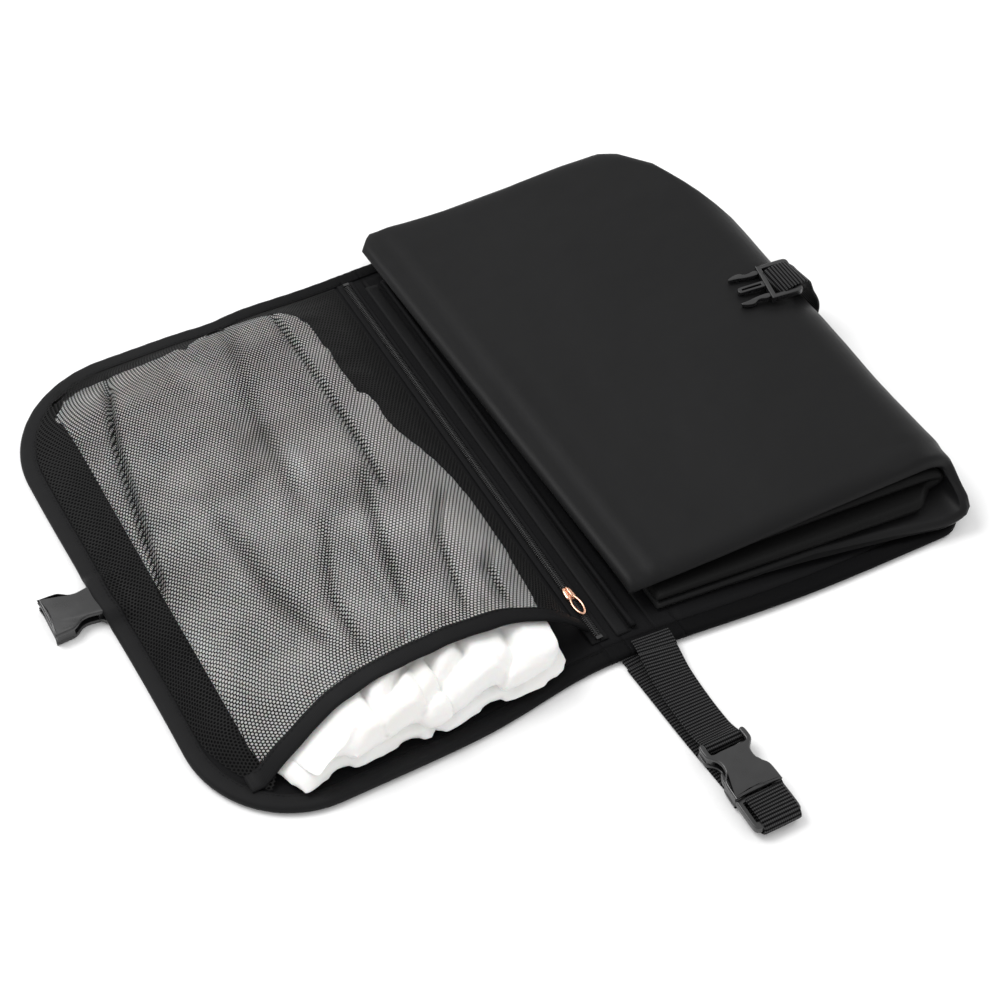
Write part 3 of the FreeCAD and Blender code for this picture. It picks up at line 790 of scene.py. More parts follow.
def mouth_binding():
    """The bound edge of the pocket's mouth, arching over the diapers, with its stitches."""
    # Section of the folded tape: distance back from the mouth, and height above the net.
    section = [(9.2, -1.1), (4.0, -1.2), (0.2, -1.1), (-0.9, -0.5), (-1.2, 0.2), (-0.8, 1.0),
               (0.6, 1.5), (5.0, 1.55), (8.8, 1.4), (9.3, 1.1), (9.1, 0.8), (5.0, 1.0),
               (0.8, 0.9), (-0.3, 0.5), (-0.5, 0.1), (-0.2, -0.3), (0.8, -0.6), (9.1, -0.6)]
    def on_net(x, y):
        return Vector((x, y, max(5.9, pocket_z(x, y) + 1.2)))

    last = 119
    across = [mix(-219, -24.2, i / last) for i in range(last + 1)]
    line = [on_net(x, mouth_y(x)) for x in across]
    loops, seam = [], []
    for i, a in enumerate(line):
        ahead = line[min(i + 1, last)] - line[max(i - 1, 0)]
        back = (on_net(a.x, a.y + 6) - a).normalized()
        up = ahead.normalized().cross(back).normalized()
        up = up if up.z > 0 else -up
        bow = 0.25 * ripple(a.x, 0, 16, 4)
        loops.append([a + back * depth + up * (rise + bow) for depth, rise in section])
        if 2 < i < last - 2:
            seam.append(a + back * SEAM + up * (1.5 + bow))
    tape = skin("mesh_mouth_tape", loops, MATERIALS["binding_tape"])
    settle(tape, "flap", "binding_tape", "mesh_mouth_binding")
    stitch_row("mesh_mouth_stitches", seam)


# --- Diapers ------------------------------------------------------------------------------------

def puff(obj, seed):
    """Swell a closed cloth form with a short cloth simulation and cap each point's travel."""
    cap, frames = 3.5, 18
    remesh = obj.modifiers.new("Remesh", "REMESH")
    remesh.mode = "VOXEL"
    remesh.voxel_size = 4 * MM
    bake(obj)
    start = [v.co.copy() for v in obj.data.vertices]
    cloth = obj.modifiers.new("Cloth", "CLOTH")
    cloth.settings.use_pressure = True
    cloth.settings.uniform_pressure_force = 2.5
    cloth.settings.quality = 5
    cloth.settings.mass = 0.25
    cloth.settings.tension_stiffness = 12
    cloth.settings.bending_stiffness = 0.3
    cloth.settings.effector_weights.gravity = 0
    cloth.point_cache.frame_start = 1
    cloth.point_cache.frame_end = frames
    for step in range(1, frames + 1):
        bpy.context.scene.frame_set(step)
    bake(obj)
    bpy.context.scene.frame_set(1)
    for vertex, rest in zip(obj.data.vertices, start):
        travel = vertex.co - rest
        if travel.length > cap * MM:
            travel = travel.normalized() * cap * MM
        x, y, z = rest / MM
        wobble = 0.5 * ripple(x + 3 * z, y, 11, seed) + 0.25 * ripple(x, y + 2 * z, 5, seed + 4)
        vertex.co = rest + travel + Vector((0, 0, wobble * MM))
    obj.modifiers.new("Subdivision", "SUBSURF").levels = 1
    bake(obj)
    obj.data.shade_smooth()


def slab_form(name, x0, x1, front, back, bottom, top, radius, bend):
    """A flat soft form with rounded corners and edges, ready to swell; bend shifts its points."""
    columns, rows = 22, 40
    grid_top, grid_bottom = [], []
    for i in range(columns + 1):
        for j in range(rows + 1):
            u, v = i / columns, j / rows
            x, y = mix(x0, x1, u), mix(front, back, v)
            edge = min(x - x0, x1 - x, y - front, back - y)
            corner_x, corner_y = min(x - x0, x1 - x), min(y - front, back - y)
            if corner_x < radius and corner_y < radius:
                away = Vector((radius - corner_x, radius - corner_y))
                if away.length > radius:
                    shift = away * (1 - radius / away.length)
                    x += shift.x * (1 if x - x0 < x1 - x else -1)
                    y += shift.y * (1 if y - front < back - y else -1)
            half = (top - bottom) / 2
            middle = (top + bottom) / 2
            dx, dy, dz, thin = bend(x, y)
            reach = half * max(0.12, quarter_round(edge / half)) * thin
            grid_top.append((x + dx, y + dy, middle + dz + reach))
            grid_bottom.append((x + dx, y + dy, middle + dz - reach))
    return sheet_block(name, grid_top, grid_bottom, columns + 1, rows + 1,
                       MATERIALS["diaper_nonwoven"])


# Edges of the folded ends that show at the pocket's mouth, each from the back to the front.
LOBE_EDGES = [[(-152, -125), (-153, -142), (-151, -160)],
              [(-119, -115), (-124, -129), (-140, -142)],
              [(-95, -115), (-97, -138), (-128, -156)],
              [(-71, -115), (-74, -149), (-95, -168)]]


def beside(x, y, line):
    """Distance from a point to a line of points, positive on its right-hand side going along."""
    best = 1e9
    for (ax, ay), (bx, by) in zip(line, line[1:]):
        run_x, run_y = bx - ax, by - ay
        t = clamp(((x - ax) * run_x + (y - ay) * run_y) / (run_x ** 2 + run_y ** 2))
        gap = math.hypot(x - ax - run_x * t, y - ay - run_y * t)
        if gap < abs(best):
            turn = run_x * (y - ay) - run_y * (x - ax)
            best = gap if turn < 0 else -gap
    return best


def lobe_relief(x, y):
    """Each folded end laps over the next: a raised lip along its edge and a crease beside it."""
    relief = 0.0
    for line in LOBE_EDGES:
        gap = beside(x, y, line)
        relief += 1.6 * hump(gap - 6, 5) - 4.2 * hump(gap + 1.0, 2.3)
    return relief


def diapers():
    """Four folded diapers, shingled in two layers inside the pocket and held down by the mesh."""
    floor, clearance = 5.8, 0.7
    def shingle(x, y):
        """Each folded end overlaps the next like a roof tile: how far it leads and lifts."""
        step = ((x + 214) / 43) % 1.0
        return (6.5 * step - 3) * smooth((-y - 100) / 45), (4.5 * step - 2.5) * smooth((-y) / 90)

    def side(x, y):
        """The right-hand edge of the bundle is not straight."""
        edge = curve_through([(-165, -2), (-130, 2), (-106, 6), (-66, 9), (-15, 8), (24, -5),
                              (92, -10), (135, -14), (160, -28)], y)
        return edge * smooth((x + 95) / 50) + 12 * smooth((-y - 125) / 40) * smooth((-190 - x) / 20)

    def low_bend(x, y):
        lead, lift = shingle(x, y)
        taper = 1 - 0.35 * smooth((y - 80) / 70)
        return side(x, y), 0.35 * lead, 0.4 * lift - 1.2 * smooth((y - 80) / 70), taper

    def top_bend(x, y):
        lead, lift = shingle(x, y)
        return side(x, y), 0.8 * lead, lift - 2 * smooth(y / 60), 1

    # Each one's place, body, left, right, front, back, bottom, top, corner radius, bend and seed.
    plan = [
        ("lower_left", "diaper_a", -216.5, -117.5, -168, 153, 5.9, 13.1, 14, low_bend, 3),
        ("lower_right", "diaper_b", -131, -40, -168, 160, 5.9, 13.1, 20, low_bend, 4),
        ("upper_left", "diaper_c", -204, -108, -166, 64, 13.3, 30.0, 7, top_bend, 5),
        ("upper_right", "diaper_d", -122, -44, -164, 62, 13.3, 29.0, 14, top_bend, 6),
    ]
    for place, body, x0, x1, front, back, bottom, top, radius, bend, seed in plan:
        form = slab_form("diaper_fold_" + place, x0, x1, front, back, bottom, top, radius, bend)
        puff(form, seed)
        for vertex in form.data.vertices:
            x, y, z = vertex.co / MM
            gather = smooth((-y - 110) / 40)
            z += gather * (0.8 * ripple(x, y / 3, 6, seed) + 0.4 * ripple(x, y, 2.5, seed))
            if z > top - 9 and top > 20:
                z += lobe_relief(x, y) * smooth((z - top + 9) / 6)
            inside = max(y, mouth_y(x))
            net = min(pocket_z(x + aside, inside) for aside in (-1.8, 0, 1.8))
            vertex.co.z = clamp(z, floor, net - clearance) * MM
        settle(form, body, "diaper_nonwoven", "diaper_" + place)


# --- Changing pad -------------------------------------------------------------------------------

# The pad's back edge and the front edge of its lower plies, as (x, y) from left to right.
PAD_BACK = [(-6, 178), (16, 176), (58, 170), (91, 167), (131, 165), (155, 162), (165, 156),
            (179, 136), (190, 98), (202, 52)]
PAD_LOW_FRONT = [(0, -143), (41, -147), (110, -154), (150, -163), (180, -171), (202, -172)]


def straight_through(points, t):
    """Value at t of straight lines through (position, value) pairs."""
    for (t0, v0), (t1, v1) in zip(points, points[1:]):
        if t <= t1:
            return mix(v0, v1, clamp((t - t0) / (t1 - t0)))
    return points[-1][1]


def pad_front(x, level, inner):
    """Y of a ply's front edge: the lower plies stick out further, most at the right-hand fold."""
    if inner:
        tucked = 11 * smooth((x - 172) / 14) * (1 - level)
        return -140.5 - 0.11 * x + 11 * level + tucked
    return mix(straight_through(PAD_LOW_FRONT, x), -135.5 - 0.066 * x, level)


def pad_back(x):
    """Y of the pad's back edge, cut across at its back-right corner and clipped at the left."""
    return straight_through(PAD_BACK, x) - max(0.0, 17 - 1.3 * (x + 4))


def ply_line(inner):
    """Centre line and half-thickness of a folded pair of plies, from lower left to upper left.
    A gap that rises straight to the hinge parts the lower half from the upper half."""
    if inner:
        lower = [(17, 10.4, 1.8), (60, 12.0, 2.4), (120, 14.3, 3.2), (172, 16.6, 3.7)]
        wrap = [(184, 17.6, 3.6), (190.5, 19.4, 2.8), (192.5, 21.6, 2.4), (190, 23.8, 2.8)]
        upper = [(183, 25.4, 3.4), (170, 24.9, 3.6), (120, 21.4, 2.9), (60, 17.4, 2.1),
                 (14, 14.9, 1.6)]
    else:
        lower = [(16, 6.3, 2.0), (60, 6.7, 2.4), (120, 7.5, 3.2), (172, 8.3, 3.9)]
        wrap = [(187, 9.0, 4.0), (195.0, 13.0, 3.4), (197.6, 21.0, 3.0), (195.6, 29.5, 3.5)]
        upper = [(186, 34.4, 3.9), (170, 33.6, 4.0), (120, 29.0, 3.4), (60, 22.8, 2.6),
                 (0, 18.3, 2.0)]
    return lower + wrap + upper


def folded_ply(name, inner):
    """One folded pair of plies, closed all round. The top ply rolls down softly at its edges."""
    count, stations = 120, 110
    line = resample(ply_line(inner), count, steps=12, measured=2)
    outline = []
    # Height where the side of the fold starts to belong to the upper ply, and how far it takes.
    foot, climb = (17, 7) if inner else (12, 19)
    for i, (x, z, half) in enumerate(line):
        a, b = line[max(0, i - 1)], line[min(count - 1, i + 1)]
        along = Vector((b[0] - a[0], b[1] - a[1])).normalized()
        end = min(i, count - 1 - i) * math.dist(line[0][:2], line[1][:2])
        upper = smooth((z - foot) / climb) if x > 172 else float(i > count / 2)
        outline.append((x, z, max(0.25, half * quarter_round(end / half)), along, upper))
    loops = []
    for j in range(stations + 1):
        v = 0.5 - 0.5 * math.cos(math.pi * mix(0.05, 0.95, j / stations)) / math.cos(math.pi * 0.05)
        hollow_side, outer_side = [], []
        for x, z, half, along, upper in outline:
            front, back = pad_front(x, upper, inner), pad_back(x)
            y = mix(front, back, v)
            rim = min(y - front, back - y)
            hem, roll = quarter_round(rim / max(half, 1.0)), quarter_round(rim / 11)
            swell = 0.35 * ripple(x, y, 30, 11 + inner) + 0.2 * ripple(x, y, 12, 15)
            crumple = smooth((x - 150) / 30) * smooth((-y - 112) / 34)
            swell += 2.0 * ripple(x + z, y, 11, 8) * crumple
            wrinkled = 1 if inner else 1 - upper
            swell += 0.7 * ripple(x / 3, y, 7, 17) * smooth((-y - 118) / 20) * wrinkled
            outside = half * max(0.05, mix(hem, roll, 0.75 * upper)) + swell * hem
            if not inner:
                ridges = 0.9 * hump(x - 5, 3.5) - 0.5 * hump(x - 12, 5) + 0.7 * hump(x - 21, 5)
                broad = 1.1 * ripple(x, y, 75, 21) * smooth((x - 20) / 40)
                cinched = 3.4 * hump(y - 0.5, 14) * smooth((x - 152) / 38) * smooth((z - 27) / 7)
                outside += upper * hem * (ridges + broad - cinched)
            normal = Vector((-along.y, along.x))
            slant = (0.2 - 0.0264 * y) * smooth((40 - x) / 40) * upper
            droop = 0 if inner else -2.5 * upper * (1 - roll) * smooth((60 - y) / 60)
            inside = half * max(0.08, hem)
            hollow_side.append((x + slant + normal.x * inside, y, z + droop + normal.y * inside))
            outer_side.append((x + slant - normal.x * outside, y, z + droop - normal.y * outside))
        loops.append(hollow_side + list(reversed(outer_side)))
    # The inner pair takes the darker copy of the pad fabric, which paints the shade between the plies.
    return skin(name, loops, MATERIALS["pad_fabric_painted_shade" if inner else "pad_fabric"])


def changing_pad():
    """The folded pad: an outer and an inner pair of plies, each folded round at the right-hand end."""
    for name, inner, plies in (("pad_outer_plies", False, ("pad_bottom", "pad_top")),
                               ("pad_inner_plies", True, ("pad_lower_middle", "pad_upper_middle"))):
        ply = folded_ply(name, inner)
        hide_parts(*[part + layer for part in plies for layer in ("_cover", "_foam")])
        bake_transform(ply)


# --- Webbing ------------------------------------------------------------------------------------

def strap(name, line, count, across, body, node, width=20.0, thick=1.4, twist=None):
    """Flat webbing with softened edges along a smooth line. Its width lies along across, and turns
    to twist over the stations after the first few where that is given."""
    half, t = width / 2, thick / 2
    section = [(-half, 0), (-half + 0.25, t * 0.75), (-half + 0.8, t), (0, t * 1.08),
               (half - 0.8, t), (half - 0.25, t * 0.75), (half, 0), (half - 0.25, -t * 0.75),
               (half - 0.8, -t), (0, -t * 1.02), (-half + 0.8, -t), (-half + 0.25, -t * 0.75)]
    points = [Vector(p) for p in resample(line, count)]
    loops, along = [], []
    travelled = 0.0
    for i, centre in enumerate(points):
        before, after = points[max(0, i - 1)], points[min(count - 1, i + 1)]
        forward = (after - before).normalized()
        wide = across.lerp(twist, smooth((i - 4) / 14)) if twist else across
        wide = (wide - forward * wide.dot(forward)).normalized()
        up = wide.cross(forward).normalized()
        if i:
            travelled += (centre - before).length
        loops.append([centre + wide * w + up * h for w, h in section])
        along += [travelled] * len(section)
    obj = skin(name, loops, MATERIALS["webbing"])
    add_line_values(obj, along, "along")
    add_line_values(obj, [w for w, _ in section] * count, "across")
    settle(obj, body, "webbing", node)


def wrist_straps():
    """The wrist strap: an upper run to the female half and a lower run back under it."""
    across = Vector((1, 0, 0))
    strap("wrist_strap_root_upper", [(4.2, -157, 5.5), (3.8, -162, 5.7), (3.2, -167, 5.4)], 16, across,
          "spine", "wrist_webbing_root_upper", width=22)
    upper = [(3.2, -167.2, 5.4), (2.6, -172, 4.6), (1.2, -185, 3.6), (0.4, -205, 3.9),
             (0.4, -222, 5.0), (0.5, -229, 7.0), (0.5, -232.4, 8.6), (0.5, -235.2, 8.0),
             (0.5, -236.2, 5.9), (0.5, -234.6, 3.8), (0.5, -231.2, 3.4)]
    strap("wrist_strap_upper", upper, 70, across, "wrist_strap", "wrist_webbing_upper",
          width=21.6)
    strap("wrist_strap_root_lower", [(-6, -156, 1.6), (-6.0, -162, 1.4), (-5.6, -168, 1.2)], 12, across,
          "spine", "wrist_webbing_root_lower")
    lower = [(-5.6, -168.2, 1.2), (-4.6, -185, 0.9), (-3.2, -215, 0.9), (-1.2, -245, 0.9),
             (0.8, -272, 0.9), (1.6, -283.5, 1.1), (1.9, -287.2, 3.4), (1.9, -287.0, 6.6),
             (1.9, -284.0, 8.7), (1.9, -278, 9.0), (1.7, -269, 8.9)]
    strap("wrist_strap_lower", lower, 90, across, "wrist_strap", "wrist_webbing_lower",
          width=21.5)


def closure_straps():
    """The closure strap over the pad's right-hand fold, and the tab that holds the female half."""
    across = Vector((0, 1, 0))
    strap("closure_strap_root", [(186, 6, 1.5), (192, 6, 1.5), (197.6, 6, 1.7)], 12, across,
          "base", "closure_webbing_root")
    rise = [(197.6, 6, 1.7), (204.5, 6, 4), (210.0, 6, 13), (209.6, 6, 23), (204.6, 6, 33.6)]
    strap("closure_strap_rise", rise, 40, across, "strap_rise", "closure_webbing_rise")
    end = [(204.6, 6, 33.7), (202.6, 6, 38.4), (199.4, 6, 42.8), (195.0, 6, 44.8),
           (189.0, 6, 44.6), (184.4, 6, 43.4), (182.2, 6, 41.2), (184.4, 6, 39.2), (191.0, 6, 39.2)]
    yaw = math.radians(100)
    askew = Vector((math.cos(yaw), math.sin(yaw), 0))
    strap("closure_strap_end", end, 60, across, "strap_end", "closure_webbing_end",
          twist=askew)
    tab = [(-203, 0, 1.0), (-220, 0, 1.0), (-233, 0, 1.1), (-237, 0, 1.2), (-238.4, 0, 2.3),
           (-236.6, 0, 3.7), (-233, 0, 3.4), (-222, 0, 2.3)]
    strap("closure_tab_strap", tab, 50, across, "flap", "closure_tab_webbing",
          thick=0.8)


# --- Spine trim and zip -------------------------------------------------------------------------

def spine_trim():
    """The corded piping and the flat facing strip beside it."""
    loops = []
    for j in range(150):
        y = mix(-148, 148, j / 149)
        x = 0.5 * math.sin(y / 60) + 0.25 * ripple(0, y, 25, 1)
        size = 1.75 + 0.08 * ripple(3, y, 6, 2)
        loops.append([(x + size * c, y, 5.75 + size * s) for c, s in circle(12)])
    cord = skin("spine_piping_cord", loops, MATERIALS["lining_fabric"])
    settle(cord, "spine", "lining_fabric", "spine_piping")
    columns = [(-10.8, 4.3), (-10.5, 4.95), (-9.0, 5.1), (-6.5, 5.05), (-4.5, 4.8), (-2.4, 4.45)]
    top, bottom = [], []
    for j in range(101):
        y = mix(-149, 149, j / 100)
        for x, z in columns:
            top.append((x, y, z + 0.12 * ripple(x, y, 14, 6)))
            bottom.append((x, y, 4.1))
    strip = sheet_block("spine_facing_cloth", top, bottom, 101, len(columns),
                        MATERIALS["outer_fabric"])
    settle(strip, "spine", "outer_fabric", "spine_facing_strip")


def zip_tapes():
    """The two woven tapes of the zip, either side of its coil."""
    rows, columns = 121, 7
    for word, x0, x1, seed in (("left", -25.4, -20.3, 2), ("right", -19.7, -15.2, 4)):
        top, bottom = [], []
        for j in range(rows):
            y = mix(-148, 158, j / (rows - 1))
            for i in range(columns):
                x = mix(x0, x1, i / (columns - 1))
                top.append((x, y, 4.95 + 0.1 * ripple(x, y, 10, seed)))
                bottom.append((x, y, 4.45))
        cloth = sheet_block("zip_tape_cloth_" + word, top, bottom, rows, columns,
                            MATERIALS["zip_tape"])
        settle(cloth, "flap", "zip_tape", "zip_tape_" + word)


def zip_coils():
    """The interlocked loops along the tapes' meeting edges, one row for each tape."""
    pitch, front, length = 1.25, -145, 300
    wire = ((0.22, 0), (0, 0.27), (-0.22, 0), (0, -0.27))
    for word, side, shift in (("left", -1, 0), ("right", 1, pitch / 2)):
        path = [(side * 2.2, 5.0), (side * 2.3, 5.6), (side * 1.4, 6.05), (0, 6.1),
                (-side * 0.7, 5.8), (-side * 0.75, 5.2)]
        points, faces = [], []
        for k in range(int(length / pitch)):
            y = front + k * pitch + shift
            faces += tube_faces(len(path), len(wire), len(points))
            points += [(ZIP_X + x + dx * 0.6, y + dy, z + dx * 0.7) for x, z in path for dx, dy in wire]
        coil = tidy_normals(make_piece("zip_coil_loops_" + word, points, faces,
                                       MATERIALS["zip_coil"]))
        settle(coil, "flap", "zip_coil", "zip_coil_" + word)


def tube(name, line, radius, material, closed=False, sides=10):
    """A round bar along a line of points."""
    loops = []
    count = len(line)
    up = Vector((0, 0, 1))
    for i, p in enumerate(line):
        a = line[(i - 1) % count] if closed else line[max(0, i - 1)]
        b = line[(i + 1) % count] if closed else line[min(count - 1, i + 1)]
        forward = (Vector(b) - Vector(a)).normalized()
        if abs(forward.z) > 0.95:
            up = Vector((0, 1, 0))
        side = forward.cross(up).normalized()
        over = side.cross(forward)
        loops.append([Vector(p) + (side * c + over * s) * radius for c, s in circle(sides)])
    return skin(name, loops, material, around=closed)


def zip_metalwork():
    """The rose-gold slider body and its ring pull."""
    metal = MATERIALS["zip_metal"]
    loops = []
    squarish = [[math.copysign(abs(part) ** 0.5, part) for part in pair] for pair in circle(16)]
    for share, wide, high in ((0, 0.55, 0.7), (0.08, 0.85, 0.95), (0.3, 1.0, 1.0), (0.7, 0.9, 1.0),
                              (0.92, 0.7, 0.95), (1.0, 0.5, 0.7)):
        y = mix(-118, -109.2, share)
        half, tall = 3.0 * wide, 1.35 * high
        loops.append([(ZIP_X + half * c, y, 6.05 + tall * s) for c, s in squarish])
    body = skin("zip_slider_body", loops, metal)
    settle(body, "slider", "zip_metal", "zip_slider")
    arch = [(ZIP_X, y, z) for y, z in ((-117.2, 7.0), (-116.8, 8.3), (-113.8, 8.7), (-111.0, 8.4),
                                       (-110.2, 7.0))]
    bridge = tube("zip_slider_bridge", resample(arch, 24), 0.75, metal)
    settle(bridge, "slider", "zip_metal")
    ring = []
    for c, s in circle(40):
        pinch = 1 - 0.22 * smooth((s + 0.2) / 1.2)
        ring.append((ZIP_X + 2.55 * c * pinch, -122.6 + 7.0 * s, 7.5))
    pull = tube("zip_pull_ring", ring, 0.72, metal, closed=True)
    settle(pull, "pull", "zip_metal", "zip_pull")


# --- Moulded buckles ----------------------------------------------------------------------------

def both_sides(half):
    """A closed outline from one half (x, y) that starts and ends on the centre line."""
    return half + [(x, -y) for x, y in reversed(half) if y > 0]


def moulding(outlines, low, high, rounding, place):
    """A moulded slab between two heights with rounded edges; inner outlines are holes."""
    curve = bpy.data.curves.new("outline", "CURVE")
    curve.dimensions = "2D"
    curve.fill_mode = "BOTH"
    curve.extrude = ((high - low) / 2 - rounding) * MM
    curve.bevel_depth = rounding * MM
    curve.bevel_resolution = 3
    curve.offset = -rounding * MM
    for outline in outlines:
        spline = curve.splines.new("POLY")
        spline.points.add(len(outline) - 1)
        for point, (x, y) in zip(spline.points, outline):
            point.co = (x * MM, y * MM, 0, 1)
        spline.use_cyclic_u = True
    holder = show("outline", curve)
    mesh = shaped_mesh(holder)
    bpy.data.objects.remove(holder)
    mesh.transform(place @ Matrix.Translation((0, 0, (low + high) / 2 * MM)))
    return mesh


def one_piece(name, meshes, material):
    """Several meshes as one object."""
    bm = bmesh.new()
    for mesh in meshes:
        bm.from_mesh(mesh)
    mesh = bpy.data.meshes.new(name)
    bm.to_mesh(mesh)
    bm.free()
    obj = show(name, mesh)
    mesh.materials.append(material)
    tidy_normals(obj)
    mesh.shade_smooth()
    mesh.set_sharp_from_angle(angle=math.radians(50))
    return obj


# Outlines of the buckle's mouldings, as (x, y) with x running towards the mating end. The ones
# named HALF start and end on the centre line and are mirrored across it.
SOCKET_HALF = [(5.5, 0), (5.5, 5), (5.4, 10.1), (1, 10.4), (-1.6, 10.5), (-2.5, 11.8), (-1.6, 13.2),
               (2, 13.6), (5.5, 13.2), (8.2, 11.2), (10.5, 9.4), (14, 8.8), (17.5, 9.5),
               (20, 11.3), (22.5, 12.9), (26, 13.4), (32.4, 13.6), (33, 13.0), (33, 5), (33, 0)]
PLAIN_SOCKET_HALF = ([(1.2, 0), (1.2, 5), (1.2, 8.6), (2.0, 9.6), (6, 9.9), (10.5, 9.2)]
                     + SOCKET_HALF[11:])
FRAME_HALF = [(-2.3, 0), (-2.3, 8), (-2.1, 11.4), (-1.0, 12.9), (1.5, 13.5), (8, 13.5),
              (16.3, 13.3), (17, 12.6), (17, 6), (17, 0)]
FRAME_SLOT = [(2.0, 10.8), (2.0, -10.8), (14.2, -10.8), (14.2, 10.8)]
GUIDE_HALF = [(16, 0), (16, 2.1), (24, 2.1), (31, 2.1), (32.6, 1.5), (33.1, 0)]
GUIDE_GROOVE = [(18.6, 0.75), (18.6, -0.75), (30.6, -0.75), (30.6, 0.75)]
PRONG = [(17.1, 8.2), (17.1, 10.9), (20, 11.2), (23, 10.5), (25.4, 11.0), (27.2, 12.3),
         (29.4, 12.6), (32, 12.0), (34.5, 10.9), (35, 10.1), (34.2, 9.6), (30.5, 9.3), (26, 8.4),
         (21.5, 7.9)]


def socket(name, half, bar_z, bar_radius, place):
    """The female half: two waisted plates, ears round the bar and walls at the mouth."""
    outline = softened(both_sides(half))
    parts = [moulding([outline], 6.1, 8.6, 0.8, place), moulding([outline], 0.1, 2.2, 0.6, place)]
    for side in (1, -1):
        wall = [(22.5, 11.2), (22.8, 13.0), (32.8, 13.4), (32.8, 11.8)]
        ear = [(-1.8, 10.6), (-1.6, 12.6), (5.5, 12.6), (8.0, 10.2), (8.0, 8), (6, 8), (6, 10.4)]
        low, high = (1.2, 7.4) if half is SOCKET_HALF else (1.2, 3.4)
        parts.append(moulding([[(x, side * y) for x, y in wall]], 1.6, 6.9, 0.3, place))
        parts.append(moulding([[(x, side * y) for x, y in ear]], low, high, 0.3, place))
    parts.append(moulding([[(5.8, -9), (5.8, 9), (8, 9), (8, -9)]], 1.4, 7.2, 0.3, place))
    bar = tube("bar", [(0, y, bar_z) for y in (-12, -4, 4, 12)], bar_radius, None, sides=14)
    bar.data.transform(place)
    parts.append(bar.data)
    obj = one_piece(name, parts, MATERIALS["buckle_plastic"])
    bpy.data.objects.remove(bar)
    return obj


def plug(name, place):
    """The male half without its prongs: a frame round the webbing and a grooved centre guide."""
    frame_outline = softened(both_sides(FRAME_HALF))
    parts = [moulding([frame_outline, FRAME_SLOT], 0.4, 4.7, 0.6, place),
             moulding([softened(both_sides(GUIDE_HALF)), GUIDE_GROOVE], 1.1, 3.9, 0.35, place)]
    return one_piece(name, parts, MATERIALS["buckle_plastic"])


def catch(name, side, place):
    """One springy prong with its rounded catch head."""
    outline = [(x, side * y) for x, y in softened(PRONG)]
    return one_piece(name, [moulding([outline], 1.0, 4.0, 0.5, place)],
                     MATERIALS["buckle_plastic"])


def buckles():
    """Both buckles: the wrist one closed, the closure one in two halves."""
    def at(x, y, z, turn, lean=0.0):
        return (Matrix.Translation(Vector((x, y, z)) * MM)
                @ Matrix.Rotation(math.radians(lean), 4, "Y")
                @ Matrix.Rotation(math.radians(turn), 4, "Z"))

    wrist_male = at(0.5, -284.0, 3.35, 90)
    closure_male = at(195, 6, 39.3, 170, -5.65)
    settle(socket("wrist_socket", SOCKET_HALF, 4.25, 1.8, at(0.5, -233.8, 1.6, -90)), "wrist_strap",
           "buckle_plastic", "wrist_buckle_female")
    settle(plug("wrist_plug", wrist_male), "wrist_strap", "buckle_plastic", "wrist_buckle_male")
    settle(socket("closure_socket_shell", PLAIN_SOCKET_HALF, 2.1, 1.2, at(-236, 0, 0, 180)),
           "closure_socket", "buckle_plastic", "closure_buckle_female")
    settle(plug("closure_plug", closure_male), "strap_end", "buckle_plastic",
           "closure_buckle_male")
    for word, side in (("left", 1), ("right", -1)):
        settle(catch("wrist_catch_" + word, side, wrist_male), "wrist_prong_" + word,
               "buckle_plastic", "wrist_buckle_prong_" + word)
        settle(catch("closure_catch_" + word, side, closure_male), "closure_prong_" + word,
               "buckle_plastic", "closure_buckle_prong_" + word)


def zip_stops():
    """The small moulded stops at the zip's ends keep their built shape, with rounded edges."""
    for node in ("zip_stop_front", "zip_stop_back"):
        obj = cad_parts[node]
        obj.data.materials.clear()
        obj.data.materials.append(MATERIALS["zip_coil"])
        bevel = obj.modifiers.new("Rounded", "BEVEL")
        bevel.width = 0.2 * MM
        bevel.segments = 3


# --- Stage, light and camera --------------------------------------------------------------------

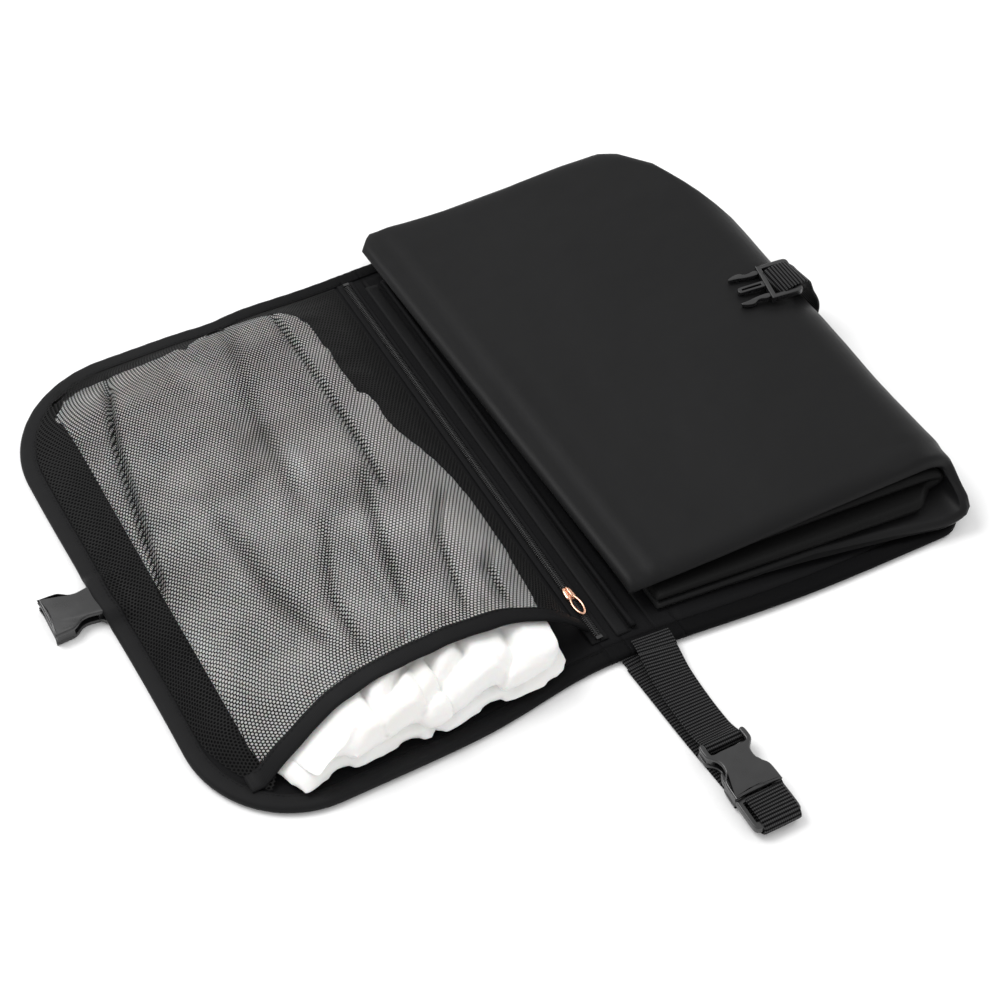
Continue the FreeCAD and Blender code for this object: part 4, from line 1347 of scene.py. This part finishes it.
def stage():
    """A plain pale floor, soft light from above and behind, and the camera."""
    points = [(-3000, -3000, -0.2), (3000, -3000, -0.2), (3000, 3000, -0.2), (-3000, 3000, -0.2)]
    n = Nodes("pale_floor")
    n.finish(n.shade((0.93, 0.93, 0.93), (0.95, 0.95, 0.95), n.spots(2.0)), 0.9,
             n.bump(n.spots(300.0), 0.0001), Specular_IOR_Level=0.1)
    floor = make_piece("floor", points, [(0, 1, 2, 3)], n.material)

    world = bpy.data.worlds.new("studio")
    world.use_nodes = True
    world.node_tree.nodes["Background"].inputs["Color"].default_value = (1, 1, 1, 1)
    world.node_tree.nodes["Background"].inputs["Strength"].default_value = 0.85
    bpy.context.scene.world = world

    def area(name, location, target, size, energy):
        light = bpy.data.lights.new(name, "AREA")
        light.shape = "DISK"
        light.size = size
        light.energy = energy
        lamp = show(name, light)
        lamp.location = location
        aim = Vector(target) - Vector(location)
        lamp.rotation_euler = aim.to_track_quat("-Z", "Y").to_euler()

    area("key", (-0.7, 0.8, 1.6), (0, 0, 0), 1.1, 20)
    area("rim", (1.5, 0.1, 1.0), (0.1, 0, 0), 0.7, 4)

    azimuth, elevation, roll = math.radians(-28.73), math.radians(48.74), math.radians(0.39)
    back = Vector((math.sin(azimuth) * math.cos(elevation),
                   -math.cos(azimuth) * math.cos(elevation), math.sin(elevation)))
    right = Vector((math.cos(azimuth), math.sin(azimuth), 0))
    up = back.cross(right)
    turn_right = right * math.cos(roll) + up * math.sin(roll)
    turn_up = up * math.cos(roll) - right * math.sin(roll)
    target = Vector((-0.0215, -0.018, 0))
    distance, aside, below = 1.25618, 0.01061, 0.00896
    place = target + turn_right * aside - turn_up * below + back * distance
    camera_data = bpy.data.cameras.new("camera")
    sensor, focal_lengths = 36, 2.26158
    camera_data.sensor_width = sensor
    camera_data.lens = sensor * focal_lengths
    camera = show("camera", camera_data)
    camera.matrix_world = Matrix((
        (turn_right.x, turn_up.x, back.x, place.x),
        (turn_right.y, turn_up.y, back.y, place.y),
        (turn_right.z, turn_up.z, back.z, place.z),
        (0, 0, 0, 1)))
    bpy.context.scene.camera = camera
    bpy.context.scene.view_settings.view_transform = "Standard"


def build():
    """Everything, in one go."""
    stage()
    flap_cover()
    base_cover()
    spine_cover()
    fold_strips()
    diapers()
    mesh_panel()
    mouth_binding()
    changing_pad()
    spine_trim()
    zip_tapes()
    zip_coils()
    zip_metalwork()
    wrist_straps()
    closure_straps()
    buckles()
    zip_stops()


build()
